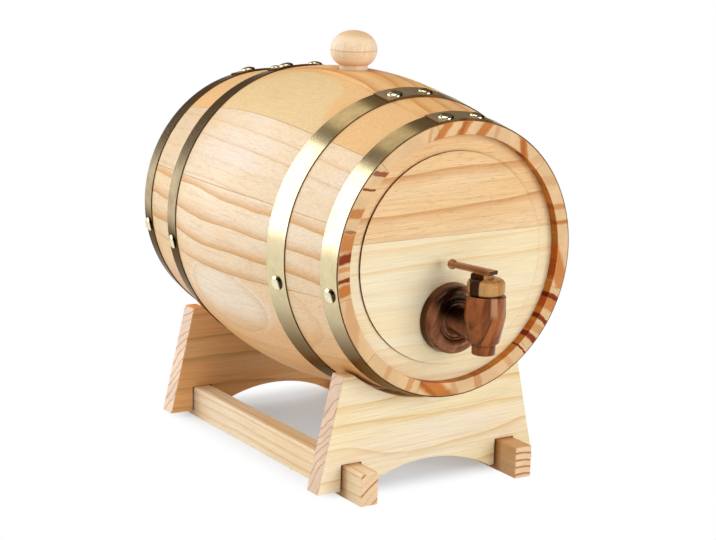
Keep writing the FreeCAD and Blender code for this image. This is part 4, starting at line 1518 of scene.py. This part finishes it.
def shapeCradle(node, railBoxes):
    low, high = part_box(node)
    inner = high.y if low.y < middle.y else low.y
    size = high - low
    centre = (low + high) / 2
    through = 3 * size.y
    board = block(plainName(node) + "Board", size, centre)
    editAll(board)
    selectFacesTowards(board, up)
    bpy.ops.transform.resize(value=(standShape["topWidth"] / size.x, 1, 1), center_override=centre)
    bpy.ops.object.mode_set(mode="OBJECT")
    seatRadius = caskRadius(inner - middle.y) + standShape["seatGap"]
    combine(board, rod("seatCutter", seatRadius, through, (0, centre.y, middle.z), 360))
    half, rise = standShape["archHalf"], standShape["archRise"]
    archRadius = (half ** 2 + rise ** 2) / (2 * rise)
    combine(board, rod("archCutter", archRadius, through, (0, centre.y, low.z + rise - archRadius), 360))
    for railLow, railHigh in railBoxes:
        notchSize = (railHigh.x - railLow.x + 2 * standShape["notchGap"], through, 2 * railHigh.z)
        combine(board, block("notch", notchSize, ((railLow.x + railHigh.x) / 2, centre.y, 0)))
    closeUp(board)
    easeEdges(board, standShape["edge"], segments=3, sharp=40)
    return board


def onCradleEnd(spot, normal):
    return abs(normal.x) > 0.9 and abs(spot.x) > standShape["topWidth"] / 2


def makeCradles():
    railBoxes = [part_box(node) for node in rails]
    for node, own in cradles.items():
        board = shapeCradle(node, railBoxes)
        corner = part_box(node)[0]
        wood = makeTimber(
            "pine" + plainName(node), pineLook, right - up * own["slant"], up - along * 0.25,
            Vector((0, corner.y, 0)), seed=own["seed"], **{**cradleLook, **own["look"]})
        endWood = makeTimber(
            "pineEnd" + plainName(node), pineLook, right, along + up * 0.5, corner, seed=own["seed"] + 9,
            cut=own["end"], **cradleEndLook)
        shadeNotches(wood, railBoxes)
        paintFaces(board, endWood, onCradleEnd)
        finishPiece(board, "stand", "stand_wood", wood, node)


def makeRails():
    boardLow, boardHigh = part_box("front_cradle")
    for node, own in rails.items():
        low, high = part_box(node)
        centre = (low + high) / 2
        rail = block(plainName(node), high - low, centre)
        easeEdges(rail, standShape["edge"], segments=3)
        wood = makeTimber(
            "pine" + plainName(node), pineLook, along, own["ringWay"], centre, seed=own["seed"],
            **railLook, **own["look"])
        # painted contact shadow on the rail close to the front board
        paintShading(wood, [(along, -railContactShadow["reach"], 0.0), (-along, boardLow.y - boardHigh.y, 0.0)],
              Vector((0, boardLow.y, 0)), 1.0, railContactShadow["tint"])
        finishPiece(rail, "stand", "stand_wood", wood, node)


makeCradles()
makeRails()
print("stand done")


# The cork sleeve inside the tap keeps its own mesh.

corkLook = {"pale": (0.42, 0.26, 0.14, 1), "dark": (0.22, 0.12, 0.06, 1), "speckle": 900, "roughness": 0.85}


def makeCork():
    material = newMaterial("corkSleeve")
    tree = material.node_tree
    specks = noise(tree, objectPlace(tree), [corkLook["speckle"]] * 3, detail=3.0)
    colour = blendColour(tree, between(tree, specks, 0.4, 0.6), corkLook["pale"], corkLook["dark"])
    feedAll(tree, shaderOf(material), {"Base Color": colour, "Roughness": corkLook["roughness"]})
    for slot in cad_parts["tap_cork_sleeve"].material_slots:
        slot.material = material


makeCork()
print("cork sleeve done")
